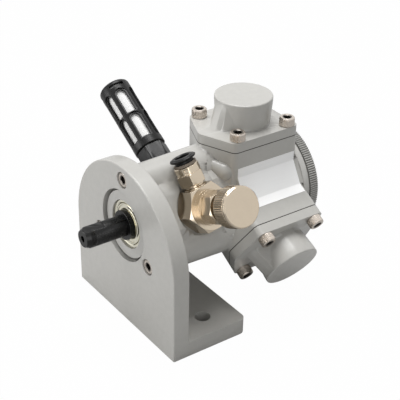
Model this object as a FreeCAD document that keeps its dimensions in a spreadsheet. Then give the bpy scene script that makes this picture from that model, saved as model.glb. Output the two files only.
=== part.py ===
import FreeCAD, Part
import math
import operator
import os
import Sketcher

# A three-cylinder radial piston air motor on a foot bracket, in millimetres.
# The origin is midway between the two foot holes, on the underside of the foot.
# +Z is up, the output shaft points along -Y and +X is to the right seen from the shaft end.

SIZES = [
    # foot bracket
    ("bracket_width", 100.0, "width of the foot and of the upright plate"),
    ("plate_thick", 10.0, "thickness of the upright plate"),
    ("foot_length", 49.0, "foot, from the plate's front face to its rear edge"),
    ("foot_thick", 9.5, "thickness of the foot"),
    ("foot_corner_radius", 4.0, "rear corners of the foot"),
    ("arch_centre_height", 47.5, "height of the centre of the plate's round top"),
    ("plate_edge_round", 0.8, "rounding of the plate's front rim"),
    ("boss_hole_radius", 21.0, "hole in the plate round the motor's front boss"),
    ("foot_hole_spacing", 70.0, "spacing of the two foot holes"),
    ("foot_hole_radius", 4.5, "foot holes"),
    ("foot_hole_setback", 29.5, "foot holes, behind the plate's front face"),
    ("shaft_height", 61.5, "shaft axis above the underside of the foot"),
    ("plate_screw_radius", 28.0, "circle of the screws that hold the plate to the motor"),
    ("plate_screw_length", 16.0, "length under the head of those screws"),
    # cap screws, size M5
    ("screw_radius", 2.5, "shank"),
    ("screw_head_radius", 4.25, "head"),
    ("screw_head_height", 5.0, "head"),
    ("screw_head_round", 0.4, "rounding of the head's rim"),
    ("socket_across_flats", 4.0, "hexagon socket"),
    ("socket_depth", 2.6, "hexagon socket"),
    ("screw_hole_gap", 0.25, "radial clearance of the shank in its hole"),
    ("head_recess_gap", 0.5, "radial clearance of a sunk head"),
    ("head_recess_extra", 0.6, "how far a sunk head lies below the plate's face"),
    # neck of the crankcase
    ("boss_radius", 19.5, "front boss that stands in the plate's hole"),
    ("boss_setback", 2.0, "front of the boss, behind the plate's front face"),
    ("pad_distance", 25.5, "shaft axis to the port pads"),
    ("pad_half_width", 10.4, "half the width of a port pad"),
    ("shoulder_distance", 22.3, "shaft axis to where a pad's side meets the lobe"),
    ("shoulder_half_width", 16.2, "half the width of the neck between two lobes"),
    ("lobe_centre_radius", 21.5, "shaft axis to the centre of a lobe"),
    ("lobe_radius", 11.6, "lobes that carry the ducts and the plate screws"),
    ("lobe_draft", 1.4, "draft of the lobes, in degrees"),
    ("duct_radius", 3.0, "air ducts"),
    ("duct_offset", 23.5, "shaft axis to the ducts along the lobes"),
    ("duct_rise_back", 54.5, "riser of a duct, behind the plate's front face"),
    ("duct_slot_depth", 3.2, "slot that leads the air on in the head's flange"),
    ("duct_slot_end", 17.3, "end of that slot, ahead of the cylinder axis"),
    ("slant_duct_radius", 1.5, "slanted duct in the fairing"),
    ("slant_duct_start", 20.4, "foot of the slanted duct, ahead of the cylinder axis"),
    ("slant_duct_lean", 25.0, "lean of the slanted duct, in degrees"),
    ("slant_duct_length", 18.4, "slanted duct in the fairing"),
    # crankcase
    ("cylinder_back", 80.3, "cylinder axes, behind the plate's front face"),
    ("block_half_width", 22.0, "half the width of a cylinder flange"),
    ("block_nose", 30.6, "tip of the flange, ahead of the cylinder axis"),
    ("block_shoulder", 21.6, "front corners of the flange, ahead of the cylinder axis"),
    ("block_rear", 23.2, "rear edge of the flange, behind the cylinder axis"),
    ("block_corner_round", 4.0, "rounding of the flange's corners"),
    ("block_nose_round", 6.0, "rounding of the flange's tip"),
    ("gasket_distance", 36.0, "shaft axis to the crankcase's gasket face"),
    ("block_root", 15.0, "shaft axis to the foot of a block, inside the casting"),
    ("core_front", 60.5, "front of the hexagonal core, behind the plate's front face"),
    ("core_distance", 29.5, "shaft axis to the core's flats between the blocks"),
    ("chamber_radius", 27.0, "crank chamber"),
    ("chamber_front", 63.0, "front wall of the chamber, behind the plate's front face"),
    ("rib_small_radius", 3.2, "cone rib between lobe and pad, beside the lobe"),
    ("rib_large_radius", 5.6, "cone rib, beside the pad"),
    ("rib_length", 14.0, "cone rib"),
    ("rib_back", 51.8, "cone rib, behind the plate's front face"),
    ("rib_start_across", 6.0, "start of the cone rib, beside the lobe's middle"),
    ("rib_start_height", 27.6, "start of the cone rib, from the shaft axis"),
    ("rib_lean", 104.0, "cone rib, from the lobe's middle line, in degrees"),
    # cylinder heads
    ("gasket_thick", 0.5, "head gasket"),
    ("flange_thick", 5.5, "head flange"),
    ("head_end_distance", 58.2, "shaft axis to the flat end of a head"),
    ("cap_radius", 16.5, "round cap of a head, at its rim"),
    ("cap_foot_radius", 15.4, "round cap of a head, at the flange"),
    ("cap_rim_height", 3.0, "straight rim of the cap"),
    ("cap_end_wall", 3.7, "wall over the cylinder"),
    ("cap_edge_round", 0.8, "rounding of the cap's rim"),
    ("fairing_half_width", 2.3, "front edge of the air passage's fairing"),
    ("fairing_nose", 22.0, "front of the fairing's foot, ahead of the cylinder axis"),
    ("fairing_cheek_width", 5.3, "half the width between the fairing's corners"),
    ("fairing_cheek", 19.4, "corners of the fairing's foot, ahead of the cylinder axis"),
    ("fairing_side", 13.6, "half the width of the fairing where it meets the cap"),
    ("fairing_back", 7.0, "where the fairing meets the cap, ahead of the cylinder axis"),
    ("head_screw_edge", 4.0, "head screws, from the sides of a cylinder flange"),
    ("head_screw_spacing_y", 34.5, "head screws, along the shaft"),
    ("head_screw_length", 14.0, "length under the head"),
    # cylinders, pistons and crank
    ("bore_radius", 12.0, "cylinder bore"),
    ("liner_wall", 1.8, "cylinder liner"),
    ("liner_foot_distance", 28.5, "shaft axis to the open end of a liner"),
    ("crank_throw", 3.5, "half of the stroke"),
    ("piston_gap", 0.05, "radial clearance of the piston in its liner"),
    ("piston_length", 16.0, "piston"),
    ("piston_wall", 1.6, "skirt"),
    ("piston_crown", 2.6, "crown"),
    ("top_clearance", 0.8, "crown to the end of the cylinder at top dead centre"),
    ("seal_width", 2.0, "piston seal"),
    ("seal_depth", 1.0, "piston seal"),
    ("seal_setback", 2.2, "piston seal, below the crown's face"),
    ("seal_gap", 0.1, "clearance of a seal in its groove"),
    ("pin_radius", 5.0, "crank pin"),
    ("pin_end_back", 89.0, "end of the crank pin, behind the plate's front face"),
    ("pin_shoulder_radius", 7.0, "shoulder between web and pin"),
    ("ring_radius", 9.0, "outside of the crank pin's bush"),
    ("ring_length", 15.0, "crank pin's bush"),
    ("running_gap", 0.05, "radial clearance of a running fit"),
    ("seat_gap", 0.02, "radial clearance of a seated fit"),
    ("shoe_thick", 2.5, "shoe of a connecting rod"),
    ("shoe_half_angle", 48.0, "half of the arc that a shoe covers, in degrees"),
    ("shoe_length", 14.0, "shoe, along the shaft"),
    ("rod_radius", 3.0, "shank of a connecting rod"),
    ("rod_ball_radius", 4.4, "ball end of a connecting rod"),
    ("rod_length", 35.5, "crank pin's axis to the centre of the ball"),
    ("retainer_thick", 1.7, "rings that hold the shoes"),
    ("retainer_length", 2.4, "rings that hold the shoes"),
    ("retainer_offset", 5.4, "middle of such a ring, from the cylinder axes"),
    ("web_front", 64.0, "crank web, behind the plate's front face"),
    ("web_thick", 6.5, "crank web"),
    ("web_radius", 20.0, "counterweight of the web"),
    ("web_half_width", 9.0, "web beside the pin"),
    ("web_cheek_radius", 9.5, "web round the pin"),
    # output shaft and its bearings
    ("shaft_radius", 6.0, "shaft"),
    ("shaft_reach", 25.0, "shaft, ahead of the plate's front face"),
    ("shaft_chamfer", 1.0, "tip of the shaft"),
    ("undercut_depth", 0.3, "undercut of the shaft below its spacer collar"),
    ("undercut_width", 2.4, "undercut of the shaft below its spacer collar"),
    ("flat_length", 12.5, "flat milled on the shaft"),
    ("flat_depth", 1.0, "flat milled on the shaft"),
    ("centre_hole_radius", 1.9, "hole in the shaft's tip"),
    ("centre_hole_depth", 10.0, "hole in the shaft's tip"),
    ("collar_radius", 8.5, "spacer collar before the front bearing"),
    ("collar_length", 3.0, "spacer collar"),
    ("bearing_setback", 3.0, "front bearing, behind the plate's front face"),
    ("bearing_radius", 14.0, "outside of both bearings"),
    ("bearing_width", 8.0, "both bearings"),
    ("race_thick", 2.0, "outer and inner ring of a bearing"),
    ("inner_race_thick", 2.4, "inner ring of a bearing"),
    ("shield_setback", 0.4, "shield, below the bearing's face"),
    ("shield_thick", 0.4, "shield"),
    ("shield_gap", 0.25, "shield to inner ring"),
    ("rear_bearing_back", 50.0, "rear bearing, behind the plate's front face"),
    ("lip_seal_length", 3.0, "shaft seal behind the front bearing"),
    # rotary valve
    ("sleeve_wall", 2.5, "valve sleeve"),
    ("sleeve_front", 15.0, "valve sleeve, behind the plate's front face"),
    ("sleeve_length", 34.0, "valve sleeve"),
    ("groove_width", 4.5, "ring grooves of the valve"),
    ("groove_depth", 2.5, "ring grooves of the valve"),
    ("timing_flat_distance", 7.3, "shaft axis to the valve's timing flats"),
    ("timing_flat_length", 6.5, "timing flats"),
    # ports
    ("port_radius", 6.5, "threaded ports"),
    ("inlet_angle", 64.0, "inlet port, from the top towards +X, in degrees"),
    ("inlet_back", 35.5, "inlet port, behind the plate's front face"),
    ("exhaust_angle", -60.0, "exhaust port, from the top, in degrees"),
    ("exhaust_back", 41.0, "exhaust port, behind the plate's front face"),
    ("inlet_groove_back", 31.5, "inlet groove of the valve, behind the plate's front face"),
    ("exhaust_groove_back", 45.5, "exhaust groove of the valve, behind the plate's front face"),
    ("spot_face_distance", 22.0, "shaft axis to the seat of the throttle valve"),
    ("spot_face_radius", 14.8, "round recess for the seat of the throttle valve"),
    # rear cover
    ("cover_spigot_length", 8.0, "spigot in the crank chamber"),
    ("cover_neck_radius", 30.4, "plain ring of the cover"),
    ("cover_neck_length", 3.5, "plain ring of the cover"),
    ("knurl_radius", 31.8, "knurled rim"),
    ("knurl_depth", 0.55, "teeth of the knurled rim"),
    ("knurl_length", 6.2, "knurled rim"),
    ("knurl_teeth", 150, "teeth of the knurled rim"),
    ("cover_dish_radius", 26.0, "shallow dish in the cover's rear"),
    ("cover_dish_depth", 1.2, "shallow dish in the cover's rear"),
    ("cover_ring_radius", 1.0, "O-ring of the cover"),
    # throttle valve on the inlet
    ("throttle_hex", 24.5, "across the flats of the valve body"),
    ("throttle_hex_length", 14.0, "valve body"),
    ("throttle_turn", 11.0, "how far the body's flats are turned from the neck, in degrees"),
    ("throttle_ring_radius", 9.9, "round collar of the body"),
    ("throttle_ring_length", 3.6, "round collar of the body"),
    ("thread_length", 7.5, "threaded stub of a fitting in its port"),
    ("bonnet_hex", 16.0, "across the flats of the bonnet"),
    ("bonnet_length", 8.4, "hexagon of the bonnet"),
    ("bonnet_stub_radius", 6.0, "stub of the bonnet in the body"),
    ("bonnet_stub_length", 9.0, "stub of the bonnet in the body"),
    ("seat_radius", 2.5, "throttle seat"),
    ("needle_radius", 3.0, "needle"),
    ("needle_tip_length", 5.0, "taper of the needle"),
    ("needle_drop", 2.4, "tip of the needle below the top of its seat at rest"),
    ("knob_radius", 12.0, "knob"),
    ("knob_length", 11.5, "knob"),
    ("knob_gap", 6.1, "knob above the bonnet at rest"),
    ("knob_chamfer", 0.9, "rims of the knob"),
    ("knob_end_wall", 2.5, "knob, over the end of the needle"),
    # push-in tube fitting on the throttle valve
    ("fitting_hex", 13.6, "across the flats"),
    ("fitting_hex_length", 7.0, "hexagon"),
    ("fitting_clearance", 0.4, "recess in the casting around the hexagon"),
    ("fitting_place", 7.0, "axis of the fitting, above the valve's seat"),
    ("fitting_ring_radius", 6.9, "round head"),
    ("fitting_ring_length", 6.0, "round head"),
    ("fitting_rim_radius", 6.3, "dark ring under the release collar"),
    ("fitting_rim_length", 1.6, "dark ring under the release collar"),
    ("fitting_stub_radius", 4.8, "stub in the valve body"),
    ("fitting_stub_length", 5.5, "stub in the valve body"),
    ("tube_radius", 4.0, "air tube that the fitting takes"),
    ("tube_gap", 0.1, "radial clearance of the tube"),
    ("release_radius", 7.3, "flange of the release collar"),
    ("release_flange", 2.2, "flange of the release collar"),
    ("release_wall", 1.2, "sleeve of the release collar"),
    ("release_travel", 1.0, "how far the release collar can be pressed in"),
    ("release_depth", 7.0, "sleeve of the release collar in the fitting"),
    # silencer on the exhaust
    ("silencer_hex", 17.0, "across the flats"),
    ("silencer_hex_length", 20.5, "hexagon"),
    ("silencer_radius", 9.45, "cage"),
    ("silencer_length", 40.6, "cage"),
    ("silencer_wall", 2.2, "cage"),
    ("silencer_end_round", 1.8, "end of the cage"),
    ("window_width", 5.4, "windows of the cage"),
    ("window_length", 15.5, "windows of the cage"),
    ("window_pitch", 18.4, "from one row of windows to the next"),
    ("window_start", 2.2, "first row of windows, from the hexagon"),
    ("silencer_turn", 6.0, "windows, turned about the silencer's axis, in degrees"),
    ("silencer_hex_turn", 9.0, "hexagon, turned against the windows, in degrees"),
    ("slot_width", 1.5, "slots near the cage's end"),
    ("slot_setback", 4.4, "slots, from the cage's end"),
    ("slot_half_length", 4.0, "slots near the cage's end"),
    ("element_wall", 2.2, "porous element"),
    ("element_gap", 0.3, "element to cage"),
    # nameplate
    ("plate_label_thick", 0.25, "nameplate"),
    ("plate_label_front", 61.0, "nameplate, behind the plate's front face"),
    ("plate_label_length", 39.5, "nameplate, along the shaft"),
    ("plate_label_wrap", 5.5, "how far the nameplate goes on past each bend"),
]

ROOT_3 = math.sqrt(3)
FULL_TURN = 360
THIRD = FULL_TURN / 3
HEADS = {"top": 0, "right": THIRD, "left": THIRD * 2}

document = FreeCAD.newDocument("air_motor")
sheet = document.addObject("Spreadsheet::Sheet", "Sizes")
parts = []


class Size:
    """A value that keeps the formula it came from, so that features can be bound to the sheet."""

    def __init__(self, value, formula):
        self.value = value
        self.formula = formula

    def __float__(self):
        return float(self.value)

    def joined(self, other, sign, action, swapped=False):
        first, second = (other, self) if swapped else (self, other)
        text = "(%s %s %s)" % (formula_of(first), sign, formula_of(second))
        return Size(action(float(first), float(second)), text)

    def __add__(self, other):
        return self.joined(other, "+", operator.add)

    def __radd__(self, other):
        return self.joined(other, "+", operator.add, True)

    def __sub__(self, other):
        return self.joined(other, "-", operator.sub)

    def __rsub__(self, other):
        return self.joined(other, "-", operator.sub, True)

    def __mul__(self, other):
        return self.joined(other, "*", operator.mul)

    def __rmul__(self, other):
        return self.joined(other, "*", operator.mul, True)

    def __truediv__(self, other):
        return self.joined(other, "/", operator.truediv)

    def __neg__(self):
        return self.joined(-1, "*", operator.mul)


def formula_of(size):
    return size.formula if isinstance(size, Size) else repr(float(size))


class Sheet:
    """The driving dimensions, as attributes."""


def fill_sheet():
    """Writes the driving dimensions into the sheet and gives them back as sizes."""
    named = Sheet()
    for row, (alias, value, meaning) in enumerate(SIZES, start=1):
        sheet.set("A%d" % row, alias)
        sheet.set("B%d" % row, repr(value))
        sheet.set("C%d" % row, meaning)
        sheet.setAlias("B%d" % row, alias)
        setattr(named, alias, Size(value, "Sizes." + alias))
    document.recompute()
    return named


s = fill_sheet()


# Sketches and features


def bind(item, path, size):
    item.setExpression(path, formula_of(size))


def new_body(name):
    body = document.addObject("PartDesign::Body", name)
    body.Label = name
    parts.append(body)
    return body


def new_sketch(body, plane, offset=0.0):
    """A sketch on one of the body's own planes, moved along the axis that the plane faces."""
    sketch = body.newObject("Sketcher::SketchObject", "Sketch")
    found = [item for item in body.Origin.OriginFeatures if item.Role == plane + "_Plane"]
    sketch.AttachmentSupport = [(found[0], "")]
    sketch.MapMode = "FlatFace"
    bind(sketch, "AttachmentOffset.Base.z", offset * (-1 if plane == "XZ" else 1))
    return sketch


def pin_point(sketch, geometry, point, x, y):
    """Holds a point of the sketch at x, y."""
    for kind, axis, value in (("DistanceX", -2, x), ("DistanceY", -1, y)):
        if isinstance(value, Size):
            index = sketch.addConstraint(
                Sketcher.Constraint(kind, -1, 1, geometry, point, float(value)))
            bind(sketch, "Constraints[%d]" % index, value)
        else:
            assert value == 0
            sketch.addConstraint(Sketcher.Constraint("PointOnObject", geometry, point, axis))


def draw_polygon(sketch, corners):
    first = sketch.GeometryCount
    count = len(corners)
    for index in range(count):
        start, end = corners[index], corners[(index + 1) % count]
        sketch.addGeometry(Part.LineSegment(Vector(start), Vector(end)), False)
    for index in range(count):
        follower = first + (index + 1) % count
        sketch.addConstraint(Sketcher.Constraint("Coincident", first + index, 2, follower, 1))
    for index, (x, y) in enumerate(corners):
        pin_point(sketch, first + index, 1, x, y)


def Vector(point):
    return FreeCAD.Vector(float(point[0]), float(point[1]), float(point[2]) if len(point) > 2 else 0)


def draw_circle(sketch, x, y, radius):
    circle = Part.Circle(Vector((x, y)), Vector((0, 0, 1)), float(radius))
    geometry = sketch.addGeometry(circle, False)
    pin_point(sketch, geometry, 3, x, y)
    index = sketch.addConstraint(Sketcher.Constraint("Radius", geometry, float(radius)))
    bind(sketch, "Constraints[%d]" % index, radius)


def draw_rectangle(sketch, left, low, right, high):
    draw_polygon(sketch, [(left, low), (right, low), (right, high), (left, high)])


def draw_hexagon(sketch, across_flats, flats_along="X"):
    """A hexagon about the sketch's origin, with two of its flats along X or along Y."""
    tip = across_flats * (1 / ROOT_3)
    flat = across_flats * 0.5
    corners = [(tip, 0), (tip * 0.5, flat), (tip * -0.5, flat),
               (-tip, 0), (tip * -0.5, -flat), (tip * 0.5, -flat)]
    draw_polygon(sketch, corners if flats_along == "X" else [(y, x) for x, y in corners])


def extrude(body, kind, sketch, length, forward=True):
    """A pad or pocket from the sketch along the positive axis of its plane, or against it."""
    feature = body.newObject("PartDesign::" + kind, kind)
    feature.Profile = sketch
    bind(feature, "Length", length)
    along_normal = forward != (sketch.AttachmentSupport[0][0].Role == "XZ_Plane")
    feature.Reversed = along_normal if kind == "Pocket" else not along_normal
    sketch.Visibility = False
    return feature


def revolve(body, kind, sketch, axis):
    feature = body.newObject("PartDesign::" + kind, kind)
    feature.Profile = sketch
    feature.ReferenceAxis = (sketch, [axis])
    feature.Angle = FULL_TURN
    return feature


def origin_axis(body, role):
    return [item for item in body.Origin.OriginFeatures if item.Role == role][0]


def polar(body, feature, role, count=3, whole=False):
    """Repeats a feature, or the whole body so far, about one of the body's axes."""
    pattern = body.newObject("PartDesign::PolarPattern", "PolarPattern")
    if whole:
        pattern.TransformMode = "Whole shape"
    else:
        pattern.Originals = [feature]
    pattern.Axis = (origin_axis(body, role), [""])
    pattern.Angle = FULL_TURN
    pattern.Occurrences = count
    body.Tip = pattern
    return pattern


def edges_where(body, test):
    """The names of the body's edges for which test(middle, direction, edge) holds."""
    document.recompute()
    names = []
    for index, edge in enumerate(body.Tip.Shape.Edges, start=1):
        middle = edge.valueAt((edge.FirstParameter + edge.LastParameter) / 2)
        direction = edge.Vertexes[-1].Point - edge.Vertexes[0].Point
        if test(middle, direction, edge):
            names.append("Edge%d" % index)
    return names


def soften(body, kind, names, size):
    """A fillet or chamfer on the named edges of the body's last feature."""
    assert names
    base = body.Tip
    feature = body.newObject("PartDesign::" + kind, kind)
    feature.Base = (base, names)
    bind(feature, "Radius" if kind == "Fillet" else "Size", size)
    return feature


def upright(direction, axis):
    """True for a straight edge along the given axis."""
    return direction.Length > 0.01 and abs(direction.dot(axis)) > 0.999 * direction.Length


def round_at(edge, radius, height, axis=2):
    """True for a circular edge of that radius whose centre lies at that height."""
    curve = edge.Curve
    return (isinstance(curve, Part.Circle) and abs(curve.Radius - float(radius)) < 0.01
            and abs(curve.Center[axis] - float(height)) < 0.01)


# Placements


def place_on_shaft(body, back=0.0):
    """Puts a body's origin on the shaft axis, so far behind the plate's front face."""
    bind(body, "Placement.Base.y", back - s.foot_hole_setback)
    bind(body, "Placement.Base.z", s.shaft_height)
    return body


def place_radial(body, angle, back):
    """As above, with the body's Z pointing outwards at an angle from the top towards +X."""
    body.Placement.Rotation = FreeCAD.Rotation(FreeCAD.Vector(0, 1, 0), float(angle))
    return place_on_shaft(body, back)


def turned(name, outline, about="shaft"):
    """A turned piece, from (along, radius) points of half its section."""
    body = new_body(name)
    if about == "shaft":
        sketch = new_sketch(body, "YZ")
        draw_polygon(sketch, outline)
        revolve(body, "Revolution", sketch, "H_Axis")
    else:
        sketch = new_sketch(body, "XZ")
        draw_polygon(sketch, [(radius, along) for along, radius in outline])
        revolve(body, "Revolution", sketch, "V_Axis")
    return body


def ring_outline(start, length, inner, outer):
    return [(start, inner), (start + length, inner), (start + length, outer), (start, outer)]


def drill(body, plane, offset, x, y, radius, depth, forward=True):
    sketch = new_sketch(body, plane, offset)
    draw_circle(sketch, x, y, radius)
    return extrude(body, "Pocket", sketch, depth, forward)


# Foot bracket


def mounting_bracket():
    """Upright plate with a round top on a flat foot, drilled for the motor and for two bolts."""
    body = new_body("mounting_bracket")
    half = s.bracket_width * 0.5
    under = -s.shaft_height
    arch_centre = s.arch_centre_height - s.shaft_height
    sketch = new_sketch(body, "XZ")
    draw_rectangle(sketch, -half, under, half, arch_centre)
    extrude(body, "Pad", sketch, s.plate_thick)
    sketch = new_sketch(body, "XZ")
    draw_circle(sketch, 0, arch_centre, half)
    extrude(body, "Pad", sketch, s.plate_thick)
    sketch = new_sketch(body, "XZ")
    draw_rectangle(sketch, -half, under - half, half, under)
    extrude(body, "Pocket", sketch, s.plate_thick)
    sketch = new_sketch(body, "XY", under)
    draw_rectangle(sketch, -half, s.plate_thick * 0.5, half, s.foot_length)
    extrude(body, "Pad", sketch, s.foot_thick)
    corners = edges_where(body, lambda middle, direction, edge: upright(
        direction, FreeCAD.Vector(0, 0, 1)) and middle.y > float(s.foot_length) - 0.01)
    soften(body, "Fillet", corners, s.foot_corner_radius)
    rim = edges_where(body, lambda middle, direction, edge: isinstance(edge.Curve, Part.Circle)
                      and abs(edge.Curve.Radius - float(half)) < 0.01)
    soften(body, "Fillet", rim, s.plate_edge_round)
    drill(body, "XZ", 0.0, 0, 0, s.boss_hole_radius, s.plate_thick)
    for side in (-1, 1):
        drill(body, "XY", under, s.foot_hole_spacing * 0.5 * side, s.foot_hole_setback,
              s.foot_hole_radius, s.foot_thick)
    hole = drill(body, "XZ", 0.0, 0, s.plate_screw_radius,
                 s.screw_radius + s.screw_hole_gap, s.plate_thick)
    polar(body, hole, "Y_Axis")
    recess = drill(body, "XZ", 0.0, 0, s.plate_screw_radius,
                   s.screw_head_radius + s.head_recess_gap,
                   s.screw_head_height + s.head_recess_extra)
    polar(body, recess, "Y_Axis")
    return place_on_shaft(body)


# Screws


def screw_group(name, spots, along, head_base, length, outward):
    """Cap screws with hexagon sockets, one solid each, along one axis of the group's body."""
    group = document.addObject("Part::Feature", name)
    group.Label = name
    parts.append(group)
    screws = []
    for x, y in spots:
        base = {"Y": (x, head_base, y), "Z": (x, y, head_base)}[along]
        axis = {"Y": FreeCAD.Vector(0, outward, 0), "Z": FreeCAD.Vector(0, 0, outward)}[along]
        screws.append(cap_screw(Vector(base), axis, float(length)))
    group.Shape = Part.makeCompound(screws)
    return group


def cap_screw(base, axis, length):
    """One cap screw: base is the centre of the head's underside, axis points out of the head."""
    head_radius, height = float(s.screw_head_radius), float(s.screw_head_height)
    flats, rim = float(s.socket_across_flats), float(s.screw_head_round)
    head = Part.makeCylinder(head_radius, height, base, axis)
    top = [edge for edge in head.Edges if isinstance(edge.Curve, Part.Circle)
           and (edge.Curve.Center - base).dot(axis) > height / 2]
    head = head.makeFillet(rim, top)
    shank = Part.makeCylinder(float(s.screw_radius), length, base - axis * length, axis)
    across = FreeCAD.Vector(1, 0, 0)
    floor = base + axis * (height - float(s.socket_depth))
    spokes = [FreeCAD.Rotation(axis, 60 * turn).multVec(across) for turn in range(7)]
    hexagon = Part.makePolygon([floor + spoke * (flats / ROOT_3) for spoke in spokes])
    socket = Part.Face(hexagon).extrude(axis * height)
    return head.fuse(shank).cut(socket).removeSplitter()


def bracket_screws():
    radius = float(s.plate_screw_radius)
    spots = [(radius * math.sin(math.radians(angle)), radius * math.cos(math.radians(angle)))
             for angle in HEADS.values()]
    face = s.head_recess_extra + s.screw_head_height
    group = screw_group("bracket_screws", spots, "Y", face, s.plate_screw_length, -1)
    return place_on_shaft(group)


def head_screw_places():
    """The four screws of a head, across and along the shaft, about the cylinder's axis."""
    across = s.block_half_width - s.head_screw_edge
    along = s.head_screw_spacing_y * 0.5
    return [(across * x, along * y) for x in (-1, 1) for y in (-1, 1)]


def head_screws(side, angle):
    spots = [(float(x), float(y)) for x, y in head_screw_places()]
    seat = s.gasket_distance + s.gasket_thick + s.flange_thick
    group = screw_group("head_screws_" + side, spots, "Z", seat, s.head_screw_length, 1)
    return place_radial(group, angle, s.cylinder_back)


def drill_head_screw_holes(body, floor, depth, radius):
    for x, y in head_screw_places():
        drill(body, "XY", floor, x, y, radius, depth)


# Crankcase


def flange_corners(back=0.0):
    """The outline that the crankcase, gasket and head share, tip towards the shaft's end."""
    return [(0, back - s.block_nose), (s.block_half_width, back - s.block_shoulder),
            (s.block_half_width, back + s.block_rear), (-s.block_half_width, back + s.block_rear),
            (-s.block_half_width, back - s.block_shoulder)]


def pad_flange(body, floor, thick, back=0.0):
    """The flange, with its five corners rounded."""
    sketch = new_sketch(body, "XY", floor)
    draw_polygon(sketch, flange_corners(back))
    extrude(body, "Pad", sketch, thick)
    rise = FreeCAD.Vector(0, 0, 1)
    nose = edges_where(body, lambda middle, direction, edge: upright(direction, rise)
                       and abs(middle.x) < 0.01)
    soften(body, "Fillet", nose, s.block_nose_round)
    corners = edges_where(body, lambda middle, direction, edge: upright(direction, rise)
                          and abs(abs(middle.x) - float(s.block_half_width)) < 0.01)
    soften(body, "Fillet", corners, s.block_corner_round)


def around_shaft(points):
    """Repeats points, given across and outwards from a pad's middle, for the three pads."""
    corners = []
    for angle in (60, 180, 300):
        turn_cos, turn_sin = math.cos(math.radians(angle)), math.sin(math.radians(angle))
        for across, outward in points:
            corners.append((across * turn_cos + outward * turn_sin,
                            outward * turn_cos - across * turn_sin))
    return corners


def neck_section():
    """Section of the neck without its lobes: three raised port pads with sloping sides."""
    return around_shaft([(-s.shoulder_half_width, s.shoulder_distance),
                         (-s.pad_half_width, s.pad_distance), (s.pad_half_width, s.pad_distance),
                         (s.shoulder_half_width, s.shoulder_distance)])


def core_section():
    """Section of the hexagonal core: each flat runs from one block's side to the next."""
    half = s.core_distance * ROOT_3 - s.block_half_width * 2
    return around_shaft([(-half, s.core_distance), (half, s.core_distance)])


def crankcase():
    """One casting: front boss, lobed neck with port pads, and three cylinder blocks."""
    body = new_body("crankcase")
    rear = s.cylinder_back + s.block_rear
    pad_flange(body, s.block_root, s.gasket_distance - s.block_root, s.cylinder_back)
    sketch = new_sketch(body, "XZ", s.plate_thick)
    draw_circle(sketch, 0, s.lobe_centre_radius, s.lobe_radius)
    lobe = extrude(body, "Pad", sketch, s.chamber_front - s.plate_thick)
    bind(lobe, "TaperAngle", s.lobe_draft)
    for side in (-1, 1):
        add_rib(body, side)
    polar(body, None, "Y_Axis", whole=True)
    sketch = new_sketch(body, "XZ", s.plate_thick)
    draw_polygon(sketch, neck_section())
    extrude(body, "Pad", sketch, s.chamber_front - s.plate_thick)
    sketch = new_sketch(body, "XZ", s.core_front)
    draw_polygon(sketch, core_section())
    extrude(body, "Pad", sketch, rear - s.core_front)
    sketch = new_sketch(body, "XZ", s.boss_setback)
    draw_circle(sketch, 0, 0, s.boss_radius)
    extrude(body, "Pad", sketch, s.plate_thick - s.boss_setback)
    bore_crankcase(body, rear)
    return place_on_shaft(body)


def add_rib(body, side):
    """A cone that leans between a lobe and a port pad."""
    rib = body.newObject("PartDesign::AdditiveCone", "Rib")
    bind(rib, "Radius1", s.rib_small_radius)
    bind(rib, "Radius2", s.rib_large_radius)
    bind(rib, "Height", s.rib_length)
    rib.Placement.Rotation = FreeCAD.Rotation(FreeCAD.Vector(0, 1, 0), float(s.rib_lean) * side)
    bind(rib, "Placement.Base.x", s.rib_start_across * side)
    bind(rib, "Placement.Base.y", s.rib_back)
    bind(rib, "Placement.Base.z", s.rib_start_height)


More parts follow.
